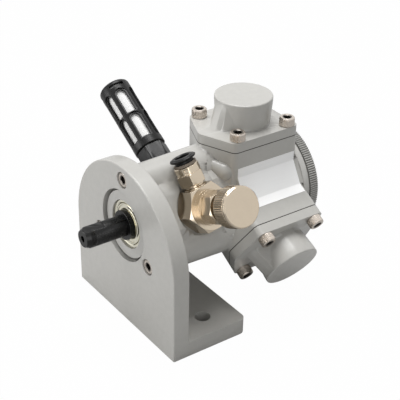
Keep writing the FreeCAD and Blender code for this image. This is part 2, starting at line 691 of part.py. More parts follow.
def bore_crankcase(body, rear):
    """Line bore for bearings and valve sleeve, crank chamber, cylinders, ducts, ports, threads."""
    drill(body, "XZ", s.boss_setback, 0, 0, s.bearing_radius + s.seat_gap,
          s.rear_bearing_back + s.bearing_width - s.boss_setback)
    drill(body, "XZ", s.boss_setback, 0, 0, s.bearing_radius - s.race_thick * 0.5,
          s.chamber_front - s.boss_setback)
    drill(body, "XZ", s.chamber_front, 0, 0, s.chamber_radius, rear - s.chamber_front)
    cylinder = drill(body, "XY", 0.0, 0, s.cylinder_back, s.bore_radius + s.liner_wall + s.seat_gap,
                     s.gasket_distance)
    polar(body, cylinder, "Y_Axis")
    thread = drill(body, "XZ", s.plate_thick, 0, s.plate_screw_radius, s.screw_radius,
                   s.plate_screw_length)
    polar(body, thread, "Y_Axis")
    duct = drill(body, "XZ", duct_back() - s.duct_radius, 0, s.duct_offset, s.duct_radius,
                 s.duct_rise_back - duct_back() + s.duct_radius)
    polar(body, duct, "Y_Axis")
    inner = drill(body, "XY", 0.0, 0, duct_back(), s.duct_radius, s.duct_offset)
    polar(body, inner, "Y_Axis")
    riser = drill(body, "XY", s.duct_offset, 0, s.duct_rise_back, s.duct_radius,
                  s.gasket_distance - s.duct_offset)
    polar(body, riser, "Y_Axis")
    depth = s.head_screw_length - s.flange_thick
    for x, y in head_screw_places():
        hole = drill(body, "XY", s.gasket_distance - depth, x, y + s.cylinder_back,
                     s.screw_radius, depth)
        polar(body, hole, "Y_Axis")
    for angle, back in ((s.inlet_angle, s.inlet_back), (s.exhaust_angle, s.exhaust_back)):
        port = body.newObject("PartDesign::SubtractiveCylinder", "Port")
        bind(port, "Radius", s.port_radius + s.seat_gap)
        bind(port, "Height", s.pad_distance)
        port.Placement.Rotation = FreeCAD.Rotation(FreeCAD.Vector(0, 1, 0), float(angle))
        reach = s.bearing_radius - 1
        stand_radial(port, angle, back, reach)
    face = body.newObject("PartDesign::SubtractiveCylinder", "SpotFace")
    bind(face, "Radius", s.spot_face_radius)
    bind(face, "Height", s.pad_distance)
    face.Placement.Rotation = FreeCAD.Rotation(FreeCAD.Vector(0, 1, 0), float(s.inlet_angle))
    stand_radial(face, s.inlet_angle, s.inlet_back, s.spot_face_distance)
    relief = body.newObject("PartDesign::SubtractiveCylinder", "FittingRelief")
    bind(relief, "Radius", s.fitting_hex * (1 / ROOT_3) + s.fitting_clearance)
    bind(relief, "Height", s.throttle_hex * 0.5 + s.fitting_hex_length + s.fitting_clearance)
    relief.Placement.Rotation = fitting_rotation()
    stand_radial(relief, s.inlet_angle, s.inlet_back, s.spot_face_distance + s.fitting_place)


def stand_radial(feature, angle, back, reach):
    """Sets a feature's origin so far out from the shaft axis at an angle from the top."""
    bind(feature, "Placement.Base.x", reach * math.sin(math.radians(float(angle))))
    bind(feature, "Placement.Base.y", back)
    bind(feature, "Placement.Base.z", reach * math.cos(math.radians(float(angle))))


def duct_back():
    """Where the ducts start, midway between the valve's two grooves."""
    return (s.inlet_groove_back + s.exhaust_groove_back) * 0.5


# Cylinder heads, gaskets and liners


def head_gasket(side, angle):
    body = new_body("head_gasket_" + side)
    pad_flange(body, s.gasket_distance, s.gasket_thick)
    cut_flange_openings(body, s.gasket_distance, s.gasket_thick)
    drill(body, "XY", s.gasket_distance, 0, s.duct_rise_back - s.cylinder_back, s.duct_radius,
          s.gasket_thick)
    return place_radial(body, angle, s.cylinder_back)


def cut_flange_openings(body, floor, thick):
    """Openings for the liner and the four screws."""
    drill(body, "XY", floor, 0, 0, s.bore_radius + s.liner_wall + s.seat_gap, thick)
    drill_head_screw_holes(body, floor, thick, s.screw_radius + s.screw_hole_gap)


def cut_slanted_duct(body):
    """Duct that rises in the fairing from the flange to the end of the cylinder."""
    duct = body.newObject("PartDesign::SubtractiveCylinder", "SlantedDuct")
    bind(duct, "Radius", s.slant_duct_radius)
    bind(duct, "Height", s.slant_duct_length)
    duct.Placement.Rotation = FreeCAD.Rotation(FreeCAD.Vector(1, 0, 0), -float(s.slant_duct_lean))
    bind(duct, "Placement.Base.y", -s.slant_duct_start)
    bind(duct, "Placement.Base.z", s.gasket_distance + s.gasket_thick + s.slant_duct_radius)


def cylinder_head(side, angle):
    """Flange, round cap over the cylinder, and the fairing of the air passage in front of it."""
    body = new_body("cylinder_head_" + side)
    floor = s.gasket_distance + s.gasket_thick
    seat = floor + s.flange_thick
    pad_flange(body, floor, s.flange_thick)
    add_cap(body, seat)
    add_fairing(body, seat)
    cut_flange_openings(body, floor, s.flange_thick)
    drill(body, "XY", floor, 0, 0, s.bore_radius + s.liner_wall + s.seat_gap,
          s.head_end_distance - s.cap_end_wall - floor)
    riser = s.duct_rise_back - s.cylinder_back
    drill(body, "XY", floor, 0, riser, s.duct_radius, s.duct_slot_depth)
    sketch = new_sketch(body, "XY", floor)
    draw_rectangle(sketch, -s.duct_radius, riser, s.duct_radius, -s.duct_slot_end)
    extrude(body, "Pocket", sketch, s.duct_slot_depth)
    cut_slanted_duct(body)
    return place_radial(body, angle, s.cylinder_back)


def add_cap(body, seat):
    """Round cap that widens a little from the flange to its rim."""
    end = s.head_end_distance
    rim = end - s.cap_rim_height
    sketch = new_sketch(body, "XZ")
    draw_polygon(sketch, [(0, seat - 1), (s.cap_foot_radius, seat - 1), (s.cap_foot_radius, seat),
                          (s.cap_radius, rim), (s.cap_radius, end), (0, end)])
    revolve(body, "Revolution", sketch, "V_Axis")
    edge = edges_where(body, lambda middle, direction, edge: round_at(edge, s.cap_radius, end))
    soften(body, "Fillet", edge, s.cap_edge_round)


def add_fairing(body, seat):
    """Lofted wedge: a wide foot on the flange that closes into the cap's rim."""
    foot = new_sketch(body, "XY", seat - s.flange_thick * 0.5)
    crest = new_sketch(body, "XY", s.head_end_distance - s.cap_edge_round * 1.5)
    rim = s.cap_radius - 0.3
    for sketch, nose, cheek in ((foot, s.fairing_nose, s.fairing_cheek),
                                (crest, rim, rim - s.fairing_half_width * 0.4)):
        corners = [(s.fairing_half_width, -nose), (s.fairing_cheek_width, -cheek),
                   (s.fairing_side, -s.fairing_back)]
        draw_polygon(sketch, corners + [(-x, y) for x, y in corners[::-1]])
    loft = body.newObject("PartDesign::AdditiveLoft", "Fairing")
    loft.Profile = foot
    loft.Sections = [crest]
    loft.Ruled = True


def cylinder_liner(side, angle):
    top = s.head_end_distance - s.cap_end_wall
    outline = ring_outline(s.liner_foot_distance, top - s.liner_foot_distance,
                           s.bore_radius, s.bore_radius + s.liner_wall)
    body = turned("cylinder_liner_" + side, outline, "radial")
    cut_slanted_duct(body)
    return place_radial(body, angle, s.cylinder_back)


# Pistons and connecting rods


def piston_lift(angle):
    """How far a piston stands above mid-stroke with the crank pin at the top."""
    return s.crank_throw * math.cos(math.radians(angle))


def crown_height(angle):
    top_dead = s.head_end_distance - s.cap_end_wall - s.top_clearance
    return top_dead - s.crank_throw + piston_lift(angle)


def piston(side, angle):
    """Hollow piston with a seal groove, open towards the crank."""
    outer = s.bore_radius - s.piston_gap
    inner = outer - s.piston_wall
    crown = crown_height(angle)
    groove = crown - s.seal_setback
    floor = groove - s.seal_width - s.seal_gap * 2
    root = outer - s.seal_depth - s.seal_gap
    outline = [(crown, 0), (crown, outer), (groove, outer), (groove, root), (floor, root),
               (floor, outer), (crown - s.piston_length, outer), (crown - s.piston_length, inner),
               (crown - s.piston_crown, inner), (crown - s.piston_crown, 0)]
    return place_radial(turned("piston_" + side, outline, "radial"), angle, s.cylinder_back)


def piston_seal(side, angle):
    outer = s.bore_radius - s.piston_gap * 0.4
    start = crown_height(angle) - s.seal_setback - s.seal_gap - s.seal_width
    outline = ring_outline(start, s.seal_width, outer - s.seal_depth, outer)
    return place_radial(turned("piston_seal_" + side, outline, "radial"), angle, s.cylinder_back)


def connecting_rod(side, angle):
    """Slipper rod: a shoe that rides on the crank pin's bush, a shank and a ball end."""
    body = new_body("connecting_rod_" + side)
    inner = s.ring_radius + s.running_gap
    outer = inner + s.shoe_thick
    half = float(s.shoe_half_angle)
    sketch = new_sketch(body, "XZ", s.shoe_length * -0.5)
    draw_circle(sketch, 0, 0, outer)
    draw_circle(sketch, 0, 0, inner)
    extrude(body, "Pad", sketch, s.shoe_length)
    slope = math.tan(math.radians(90 - half))
    wide = outer * 1.5
    sketch = new_sketch(body, "XZ", s.shoe_length * -0.5)
    draw_polygon(sketch, [(0, 0), (wide, wide * slope), (wide, -wide), (-wide, -wide),
                          (-wide, wide * slope)])
    extrude(body, "Pocket", sketch, s.shoe_length)
    sketch = new_sketch(body, "XZ")
    foot = inner + s.shoe_thick * 0.5
    draw_polygon(sketch, [(0, foot), (s.rod_radius, foot), (s.rod_radius, s.rod_length), (0, s.rod_length)])
    revolve(body, "Revolution", sketch, "V_Axis")
    ball = body.newObject("PartDesign::AdditiveSphere", "Ball")
    bind(ball, "Radius", s.rod_ball_radius)
    bind(ball, "Placement.Base.z", s.rod_length)
    place_radial(body, angle, s.cylinder_back)
    bind(body, "Placement.Base.z", s.shaft_height + s.crank_throw)
    return body


def crank_pin_ring(name, offset, length, inner, outer):
    """A ring round the crank pin."""
    body = turned(name, ring_outline(offset - length * 0.5, length, inner, outer))
    place_on_shaft(body, s.cylinder_back)
    bind(body, "Placement.Base.z", s.shaft_height + s.crank_throw)
    return body


def crank_pin_rings():
    crank_pin_ring("crank_pin_bush", s.ring_length * 0, s.ring_length,
                   s.pin_radius + s.running_gap, s.ring_radius)
    inner = s.ring_radius + s.running_gap + s.shoe_thick + s.seat_gap
    for name, way in (("rod_retaining_ring_front", -1), ("rod_retaining_ring_rear", 1)):
        crank_pin_ring(name, s.retainer_offset * way, s.retainer_length,
                       inner, inner + s.retainer_thick)


# Crankshaft, bearings and rotary valve


def crankshaft():
    """Output shaft, web with counterweight, and crank pin, forged and turned in one piece."""
    tip = -s.shaft_reach
    groove = s.bearing_setback - s.collar_length
    undercut = s.shaft_radius - s.undercut_depth
    outline = [(tip, 0), (tip, s.shaft_radius - s.shaft_chamfer),
               (tip + s.shaft_chamfer, s.shaft_radius), (groove, s.shaft_radius),
               (groove, undercut), (groove + s.undercut_width, undercut),
               (groove + s.undercut_width, s.shaft_radius),
               (s.web_front + 1, s.shaft_radius), (s.web_front + 1, 0)]
    body = turned("crankshaft", outline)
    sketch = new_sketch(body, "XZ", s.web_front)
    draw_circle(sketch, 0, 0, s.web_radius)
    extrude(body, "Pad", sketch, s.web_thick)
    trim_web(body)
    sketch = new_sketch(body, "XZ", s.web_front)
    draw_circle(sketch, 0, s.crank_throw, s.web_cheek_radius)
    extrude(body, "Pad", sketch, s.web_thick)
    sketch = new_sketch(body, "XZ", s.web_front + s.web_thick)
    draw_circle(sketch, 0, s.crank_throw, s.pin_shoulder_radius)
    shoulder = s.cylinder_back - s.ring_length * 0.5 - 0.3
    extrude(body, "Pad", sketch, shoulder - s.web_front - s.web_thick)
    sketch = new_sketch(body, "XZ", s.web_front + s.web_thick)
    draw_circle(sketch, 0, s.crank_throw, s.pin_radius)
    extrude(body, "Pad", sketch, s.pin_end_back - s.web_front - s.web_thick)
    drill(body, "XZ", tip, 0, 0, s.centre_hole_radius, s.centre_hole_depth)
    sketch = new_sketch(body, "XZ", tip)
    draw_rectangle(sketch, -s.shaft_radius, s.shaft_radius - s.flat_depth,
                   s.shaft_radius, s.shaft_radius + 1)
    extrude(body, "Pocket", sketch, s.flat_length)
    return place_on_shaft(body)


def trim_web(body):
    """Leaves the lower half of the disc as counterweight and narrows the rest beside the pin."""
    for side in (-1, 1):
        sketch = new_sketch(body, "XZ", s.web_front)
        draw_rectangle(sketch, s.web_half_width * side, 0, s.web_radius * 1.1 * side, s.web_radius * 1.1)
        extrude(body, "Pocket", sketch, s.web_thick)
    sketch = new_sketch(body, "XZ", s.web_front)
    draw_rectangle(sketch, s.web_half_width * -1.1, s.crank_throw, s.web_half_width * 1.1,
                   s.web_radius * 1.1)
    extrude(body, "Pocket", sketch, s.web_thick)


def shaft_collar():
    outline = ring_outline(s.bearing_setback - s.collar_length, s.collar_length,
                           s.shaft_radius + s.seat_gap, s.collar_radius)
    return place_on_shaft(turned("shaft_collar", outline))


def bearing(name, start):
    """Ball bearing as its outer ring, inner ring and two shields."""
    outer = s.bearing_radius
    inner = s.shaft_radius + s.seat_gap
    place_on_shaft(turned(name + "_outer_ring", ring_outline(
        start, s.bearing_width, outer - s.race_thick, outer)))
    place_on_shaft(turned(name + "_inner_ring", ring_outline(
        start, s.bearing_width, inner, s.shaft_radius + s.inner_race_thick)))
    shields = new_body(name + "_shields")
    for place in (s.shield_setback, s.bearing_width - s.shield_setback - s.shield_thick):
        sketch = new_sketch(shields, "YZ")
        draw_polygon(sketch, ring_outline(
            start + place, s.shield_thick, s.shaft_radius + s.inner_race_thick + s.shield_gap,
            outer - s.race_thick - s.seat_gap))
        revolve(shields, "Revolution", sketch, "H_Axis")
    return place_on_shaft(shields)


def shaft_seal():
    start = s.bearing_setback + s.bearing_width
    outline = ring_outline(start, s.lip_seal_length, s.shaft_radius + s.running_gap, s.bearing_radius)
    return place_on_shaft(turned("shaft_seal", outline))


def valve_sleeve():
    """Sleeve with a port to each duct, to the inlet and to the exhaust."""
    outline = ring_outline(s.sleeve_front, s.sleeve_length, s.bearing_radius - s.sleeve_wall,
                           s.bearing_radius)
    body = turned("valve_sleeve", outline)
    hole = drill(body, "XY", 0.0, 0, duct_back(), s.duct_radius * 0.7, s.bearing_radius + 1)
    polar(body, hole, "Y_Axis")
    ports = ((s.inlet_angle, s.inlet_groove_back), (s.exhaust_angle, s.exhaust_groove_back))
    for angle, back in ports:
        port = body.newObject("PartDesign::SubtractiveCylinder", "Port")
        bind(port, "Radius", s.groove_width * 0.4)
        bind(port, "Height", s.bearing_radius + 1)
        port.Placement.Rotation = FreeCAD.Rotation(FreeCAD.Vector(0, 1, 0), float(angle))
        bind(port, "Placement.Base.y", back)
    return place_on_shaft(body)


def rotary_valve():
    """Spool on the shaft: ring grooves for inlet and exhaust, and a timing flat from each."""
    outer = s.bearing_radius - s.sleeve_wall - s.running_gap
    root = outer - s.groove_depth
    inner = s.shaft_radius + s.seat_gap
    start, end = s.sleeve_front, s.sleeve_front + s.sleeve_length
    half = s.groove_width * 0.5
    outline = [(start, inner), (start, outer)]
    for back in (s.inlet_groove_back, s.exhaust_groove_back):
        outline += [(back - half, outer), (back - half, root), (back + half, root),
                    (back + half, outer)]
    outline += [(end, outer), (end, inner)]
    body = turned("rotary_valve", outline)
    flats = ((s.inlet_groove_back + half, 1, True), (s.exhaust_groove_back - half, -1, False))
    for edge, side, forward in flats:
        sketch = new_sketch(body, "XZ", edge)
        draw_rectangle(sketch, s.timing_flat_distance * side, -outer, outer * 1.1 * side, outer)
        extrude(body, "Pocket", sketch, s.timing_flat_length, forward)
    return place_on_shaft(body)


# Rear cover


def rear_cover():
    """Screwed cover: spigot in the crank chamber, plain ring and knurled rim."""
    rear = s.cylinder_back + s.block_rear
    neck_end = rear + s.cover_neck_length
    rim_end = neck_end + s.knurl_length
    spigot = s.chamber_radius - s.seat_gap
    body = new_body("rear_cover")
    sketch = new_sketch(body, "XZ", neck_end)
    draw_teeth(sketch)
    extrude(body, "Pad", sketch, s.knurl_length)
    sketch = new_sketch(body, "YZ")
    groove = rear - s.cover_spigot_length * 0.5
    seat = s.cover_ring_radius
    draw_polygon(sketch, [(rear - s.cover_spigot_length, 0), (rear - s.cover_spigot_length, spigot),
                          (groove - seat, spigot), (groove - seat, spigot - seat * 1.8),
                          (groove + seat, spigot - seat * 1.8), (groove + seat, spigot),
                          (rear, spigot), (rear, s.cover_neck_radius),
                          (neck_end + 0.5, s.cover_neck_radius), (neck_end + 0.5, 0)])
    revolve(body, "Revolution", sketch, "H_Axis")
    drill(body, "XZ", rim_end - s.cover_dish_depth, 0, 0, s.cover_dish_radius, s.cover_dish_depth)
    return place_on_shaft(body)


def draw_teeth(sketch):
    """The knurled rim's outline: straight teeth of equal pitch."""
    count = int(float(s.knurl_teeth))
    tip, root = float(s.knurl_radius), float(s.knurl_radius - s.knurl_depth)
    pitch = 2 * math.pi / count
    points = []
    for tooth in range(count):
        for share, radius in ((-0.18, tip), (0.18, tip), (0.36, root), (0.64, root)):
            turn = (tooth + share) * pitch
            points.append(FreeCAD.Vector(radius * math.cos(turn), radius * math.sin(turn), 0))
    for index, point in enumerate(points):
        following = points[(index + 1) % len(points)]
        sketch.addGeometry(Part.LineSegment(point, following), False)


def cover_o_ring():
    """O-ring, squeezed a little out of round in its groove."""
    spigot = s.chamber_radius - s.seat_gap
    groove = s.cylinder_back + s.block_rear - s.cover_spigot_length * 0.5
    half = s.cover_ring_radius * 0.95
    low = spigot - s.cover_ring_radius * 1.75
    cut = half * 0.4
    outline = [(groove - half, low + cut), (groove - cut, low), (groove + cut, low),
               (groove + half, low + cut), (groove + half, spigot - cut), (groove + cut, spigot),
               (groove - cut, spigot), (groove - half, spigot - cut)]
    return place_on_shaft(turned("cover_o_ring", outline))


# Throttle valve


def throttle_heights():
    """Heights along the valve's axis: seat, end of the hexagon, ring, bonnet and knob."""
    pad = s.spot_face_distance
    hex_end = pad + s.throttle_hex_length
    ring_end = hex_end + s.throttle_ring_length
    bonnet_end = ring_end + s.bonnet_length
    knob_start = bonnet_end + s.knob_gap
    return pad, hex_end, ring_end, bonnet_end, knob_start


def throttle_body():
    """Hexagon body with a threaded stub, a side port and a bore for the bonnet."""
    pad, hex_end, ring_end, bonnet_end, knob_start = throttle_heights()
    body = new_body("throttle_body")
    sketch = new_sketch(body, "XY", pad)
    draw_hexagon(sketch, s.throttle_hex)
    extrude(body, "Pad", sketch, s.throttle_hex_length)
    bevel_hexagon(body, pad, hex_end, s.throttle_hex)
    sketch = new_sketch(body, "XY", pad - s.thread_length)
    draw_circle(sketch, 0, 0, s.port_radius)
    extrude(body, "Pad", sketch, s.thread_length)
    sketch = new_sketch(body, "XY", hex_end)
    draw_circle(sketch, 0, 0, s.throttle_ring_radius)
    extrude(body, "Pad", sketch, s.throttle_ring_length)
    drill(body, "XY", ring_end - s.bonnet_stub_length, 0, 0,
          s.bonnet_stub_radius + s.seat_gap, s.bonnet_stub_length)
    drill(body, "XY", pad - s.thread_length, 0, 0, s.seat_radius,
          ring_end - s.bonnet_stub_length - pad + s.thread_length)
    drill(body, "XZ", 0.0, 0, pad + s.fitting_place, s.fitting_stub_radius + s.seat_gap,
          s.throttle_hex)
    place_radial(body, s.inlet_angle, s.inlet_back)
    body.Placement.Rotation = inlet_rotation()
    return body


def bevel_hexagon(body, low, high, across_flats):
    """Trims a hexagon's corners to a cone at both ends, as bar stock is turned."""
    corner = across_flats * (1 / ROOT_3)
    touch = across_flats * 0.5
    drop = (corner - touch) * 0.6
    margin = 1.0
    for level, way in ((low, 1), (high, -1)):
        sketch = new_sketch(body, "XZ")
        draw_polygon(sketch, [(touch, level), (corner + margin, level + (drop + 0.6 * margin) * way),
                              (corner + margin, level - margin * way), (touch, level - margin * way)])
        revolve(body, "Groove", sketch, "V_Axis")


def inlet_rotation():
    """Outwards at the inlet's angle, with the side port's axis turned towards the shaft's end."""
    outward = FreeCAD.Rotation(FreeCAD.Vector(0, 1, 0), float(s.inlet_angle))
    side_port_up = FreeCAD.Rotation(FreeCAD.Vector(0, 0, 1), 90 + float(s.throttle_turn))
    return outward.multiply(side_port_up)


def throttle_bonnet():
    """Hexagon bonnet that guides the needle."""
    pad, hex_end, ring_end, bonnet_end, knob_start = throttle_heights()
    body = new_body("throttle_bonnet")
    sketch = new_sketch(body, "XY", ring_end)
    draw_hexagon(sketch, s.bonnet_hex)
    extrude(body, "Pad", sketch, s.bonnet_length)
    bevel_hexagon(body, ring_end, bonnet_end, s.bonnet_hex)
    start = ring_end - s.bonnet_stub_length + 1
    sketch = new_sketch(body, "XY", start)
    draw_circle(sketch, 0, 0, s.bonnet_stub_radius)
    extrude(body, "Pad", sketch, ring_end - start)
    drill(body, "XY", start, 0, 0, s.needle_radius + s.running_gap, bonnet_end - start)
    place_radial(body, s.inlet_angle, s.inlet_back)
    body.Placement.Rotation = inlet_rotation()
    return body


def throttle_needle():
    """Needle with a tapered tip over the seat; its other end is held in the knob."""
    pad, hex_end, ring_end, bonnet_end, knob_start = throttle_heights()
    tip = ring_end - s.bonnet_stub_length - s.needle_drop
    end = knob_start + s.knob_length - s.knob_end_wall
    outline = [(tip, 0), (tip, s.needle_radius * 0.3), (tip + s.needle_tip_length, s.seat_radius - 0.3),
               (tip + s.needle_tip_length + 1, s.needle_radius), (end, s.needle_radius), (end, 0)]
    return place_radial(turned("throttle_needle", outline, "radial"), s.inlet_angle, s.inlet_back)


def throttle_knob():
    """Round knob with bevelled rims, blind bored for the needle."""
    start = throttle_heights()[-1]
    end = start + s.knob_length
    bore = s.needle_radius + s.seat_gap
    outline = [(start, bore), (start, s.knob_radius - s.knob_chamfer),
               (start + s.knob_chamfer, s.knob_radius), (end - s.knob_chamfer, s.knob_radius),
               (end, s.knob_radius - s.knob_chamfer), (end, 0),
               (end - s.knob_end_wall, 0), (end - s.knob_end_wall, bore)]
    return place_radial(turned("throttle_knob", outline, "radial"), s.inlet_angle, s.inlet_back)


# Push-in tube fitting


def fitting_rotation():
    """Z along the fitting's axis, which leaves the valve body's side port."""
    outward = FreeCAD.Rotation(FreeCAD.Vector(0, 1, 0), float(s.inlet_angle))
    turn = FreeCAD.Rotation(FreeCAD.Vector(0, 0, 1), float(s.throttle_turn))
    stand = FreeCAD.Rotation(FreeCAD.Vector(0, 1, 0), -90)
    return outward.multiply(turn).multiply(stand)


def place_fitting(body):
    """Stands the body on the valve body's side port, with Z along the fitting's axis."""
    body.Placement.Rotation = fitting_rotation()
    reach = s.spot_face_distance + s.fitting_place
    angle = math.radians(float(s.inlet_angle))
    bind(body, "Placement.Base.x", reach * math.sin(angle))
    bind(body, "Placement.Base.y", s.inlet_back - s.foot_hole_setback)
    bind(body, "Placement.Base.z", s.shaft_height + reach * math.cos(angle))
    return body


def fitting_heights():
    seat = s.throttle_hex * 0.5
    hex_end = seat + s.fitting_hex_length
    ring_end = hex_end + s.fitting_ring_length
    rim_end = ring_end + s.fitting_rim_length
    return seat, hex_end, ring_end, rim_end


def fitting_body():
    """Hexagon with a threaded stub, and the round head that takes the tube."""
    seat, hex_end, ring_end, rim_end = fitting_heights()
    body = new_body("fitting_body")
    sketch = new_sketch(body, "XY", seat)
    draw_hexagon(sketch, s.fitting_hex, "Y")
    extrude(body, "Pad", sketch, s.fitting_hex_length)
    bevel_hexagon(body, seat, hex_end, s.fitting_hex)
    sketch = new_sketch(body, "XY", seat - s.fitting_stub_length)
    draw_circle(sketch, 0, 0, s.fitting_stub_radius)
    extrude(body, "Pad", sketch, s.fitting_stub_length)
    sketch = new_sketch(body, "XY", hex_end)
    draw_circle(sketch, 0, 0, s.fitting_ring_radius)
    extrude(body, "Pad", sketch, s.fitting_ring_length)
    stop = ring_end - s.release_depth - s.release_travel - 1
    drill(body, "XY", seat - s.fitting_stub_length, 0, 0, s.tube_radius - 1.2,
          stop - seat + s.fitting_stub_length)
    drill(body, "XY", stop, 0, 0, s.tube_radius + s.tube_gap + s.release_wall + s.running_gap,
          ring_end - stop)
    return place_fitting(body)


def fitting_rim():
    """Dark ring pressed on the fitting's head, round the release collar."""
    seat, hex_end, ring_end, rim_end = fitting_heights()
    inner = s.tube_radius + s.tube_gap + s.release_wall + s.running_gap
    outline = ring_outline(ring_end, s.fitting_rim_length, inner, s.fitting_rim_radius)
    return place_fitting(turned("fitting_rim", outline, "radial"))


def fitting_release_collar():
    """Flanged sleeve that frees the tube when it is pressed in."""
    rim_end = fitting_heights()[-1]
    flange = rim_end + s.release_travel + 0.3
    inner = s.tube_radius + s.tube_gap
    sleeve = inner + s.release_wall
    start = flange - s.release_depth
    end = flange + s.release_flange
    edge = s.release_flange * 0.3
    outline = [(start, inner), (start, sleeve), (flange, sleeve), (flange, s.release_radius - edge),
               (flange + edge, s.release_radius), (end - edge, s.release_radius),
               (end, s.release_radius - edge), (end, inner)]
    return place_fitting(turned("fitting_release_collar", outline, "radial"))


# Silencer


def silencer_cage():
    """Moulded cage: hexagon, two rows of windows and a row of short slots at the closed end."""
    body = new_body("silencer_cage")
    base = s.pad_distance
    start = base + s.silencer_hex_length
    end = start + s.silencer_length
    sketch = new_sketch(body, "XY", base)
    sketch.AttachmentOffset.Rotation = FreeCAD.Rotation(
        FreeCAD.Vector(0, 0, 1), float(s.silencer_hex_turn))
    draw_hexagon(sketch, s.silencer_hex)
    extrude(body, "Pad", sketch, s.silencer_hex_length)
    sketch = new_sketch(body, "XY", base - s.thread_length)
    draw_circle(sketch, 0, 0, s.port_radius)
    extrude(body, "Pad", sketch, s.thread_length)
    sketch = new_sketch(body, "XY", start)
    draw_circle(sketch, 0, 0, s.silencer_radius)
    extrude(body, "Pad", sketch, s.silencer_length)
    rim = edges_where(body, lambda middle, direction, edge: round_at(edge, s.silencer_radius, end))
    soften(body, "Fillet", rim, s.silencer_end_round)
    drill(body, "XY", start + 1, 0, 0, s.silencer_radius - s.silencer_wall,
          s.silencer_length - s.silencer_wall - 1)
    drill(body, "XY", base - s.thread_length, 0, 0, s.port_radius - 2,
          s.thread_length + s.silencer_hex_length + 1)
    cut_windows(body, start, end)
    place_radial(body, s.exhaust_angle, s.exhaust_back)
    windows = FreeCAD.Rotation(FreeCAD.Vector(0, 0, 1), float(s.silencer_turn))
    body.Placement.Rotation = body.Placement.Rotation.multiply(windows)
    return body


def cut_windows(body, start, end):
    """Round-ended windows in two rows and short slots near the end, six of each."""
    half = s.window_width * 0.5
    for row in range(2):
        low = start + s.window_start + s.window_pitch * row
        sketch = new_sketch(body, "XZ")
        square = s.window_length - half
        draw_rectangle(sketch, -half, low, half, low + square)
        window = extrude(body, "Pocket", sketch, s.silencer_radius + 1)
        polar(body, window, "Z_Axis", 6)
        window = drill(body, "XZ", 0.0, 0, low + square, half, s.silencer_radius + 1)
        polar(body, window, "Z_Axis", 6)
    sketch = new_sketch(body, "XZ")
    level = end - s.slot_setback
    draw_rectangle(sketch, -s.slot_half_length, level, s.slot_half_length, level + s.slot_width)
    slot = extrude(body, "Pocket", sketch, s.silencer_radius + 1)
    polar(body, slot, "Z_Axis", 3)


def silencer_element():
    """Porous tube inside the cage."""
    outer = s.silencer_radius - s.silencer_wall - s.element_gap
    start = s.pad_distance + s.silencer_hex_length + 1 + s.element_gap
    length = s.silencer_length - s.silencer_wall - 1 - s.element_gap * 2
    body = turned("silencer_element", ring_outline(start, length, outer - s.element_wall, outer),
                  "radial")
    return place_radial(body, s.exhaust_angle, s.exhaust_back)


# Nameplate


def nameplate():
    """Thin blank plate bent over the flat between the top and right-hand blocks."""
    body = new_body("nameplate")
    side, flat, thick = s.block_half_width, s.core_distance, s.plate_label_thick
    wrap = s.plate_label_wrap
    inner = bend_points(side, flat, wrap)
    outer = bend_points(side + thick, flat + thick, wrap)
    sketch = new_sketch(body, "XZ", s.plate_label_front)
    draw_polygon(sketch, inner + outer[::-1])
    extrude(body, "Pad", sketch, s.plate_label_length)
    return place_on_shaft(body)


def bend_points(side, flat, wrap):
    """Four points of a strip that lies on a block's side, the flat and the next block's side."""
    bend = (flat - side * (ROOT_3 / 2)) * 2
    upper = (side, bend)
    top = (side, bend + wrap)
    return [top, upper, mirrored(upper), mirrored(top)]


def mirrored(point):
    """The same point on the other side of the line at 60 degrees from the top."""
    x, z = point
    return (x * 0.5 + z * (ROOT_3 / 2), x * (ROOT_3 / 2) - z * 0.5)


# The assembly


def build():
    mounting_bracket()
    bracket_screws()
    crankcase()
    for side, angle in HEADS.items():
        head_gasket(side, angle)
        cylinder_head(side, angle)
        head_screws(side, angle)
        cylinder_liner(side, angle)
        piston(side, angle)
        piston_seal(side, angle)
        connecting_rod(side, angle)
    crank_pin_rings()
    crankshaft()
    shaft_collar()
    bearing("front_bearing", s.bearing_setback)
    bearing("rear_bearing", s.rear_bearing_back)
    shaft_seal()
    valve_sleeve()
    rotary_valve()
    rear_cover()
    cover_o_ring()
    throttle_body()
    throttle_bonnet()
    throttle_needle()
    throttle_knob()
    fitting_body()
    fitting_rim()
    fitting_release_collar()
    silencer_cage()
    silencer_element()
    nameplate()


def check():
    """Stops if a feature failed or a sub-part has no valid solid."""
    document.recompute()
    for item in document.Objects:
        for word in ("Invalid", "Error"):
            assert word not in item.State, "%s of %s" % (item.Name, item.Label)
    for item in parts:
        assert not item.Shape.isNull() and item.Shape.isValid(), item.Label
        assert item.Shape.Solids and item.Shape.Volume > 0, item.Label


build()
check()
os.makedirs("parts", exist_ok=True)
for item in parts:
    item.Shape.exportStep("parts/%s.step" % item.Label)
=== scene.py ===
import math

import bmesh
import bpy
from mathutils import Matrix, Vector


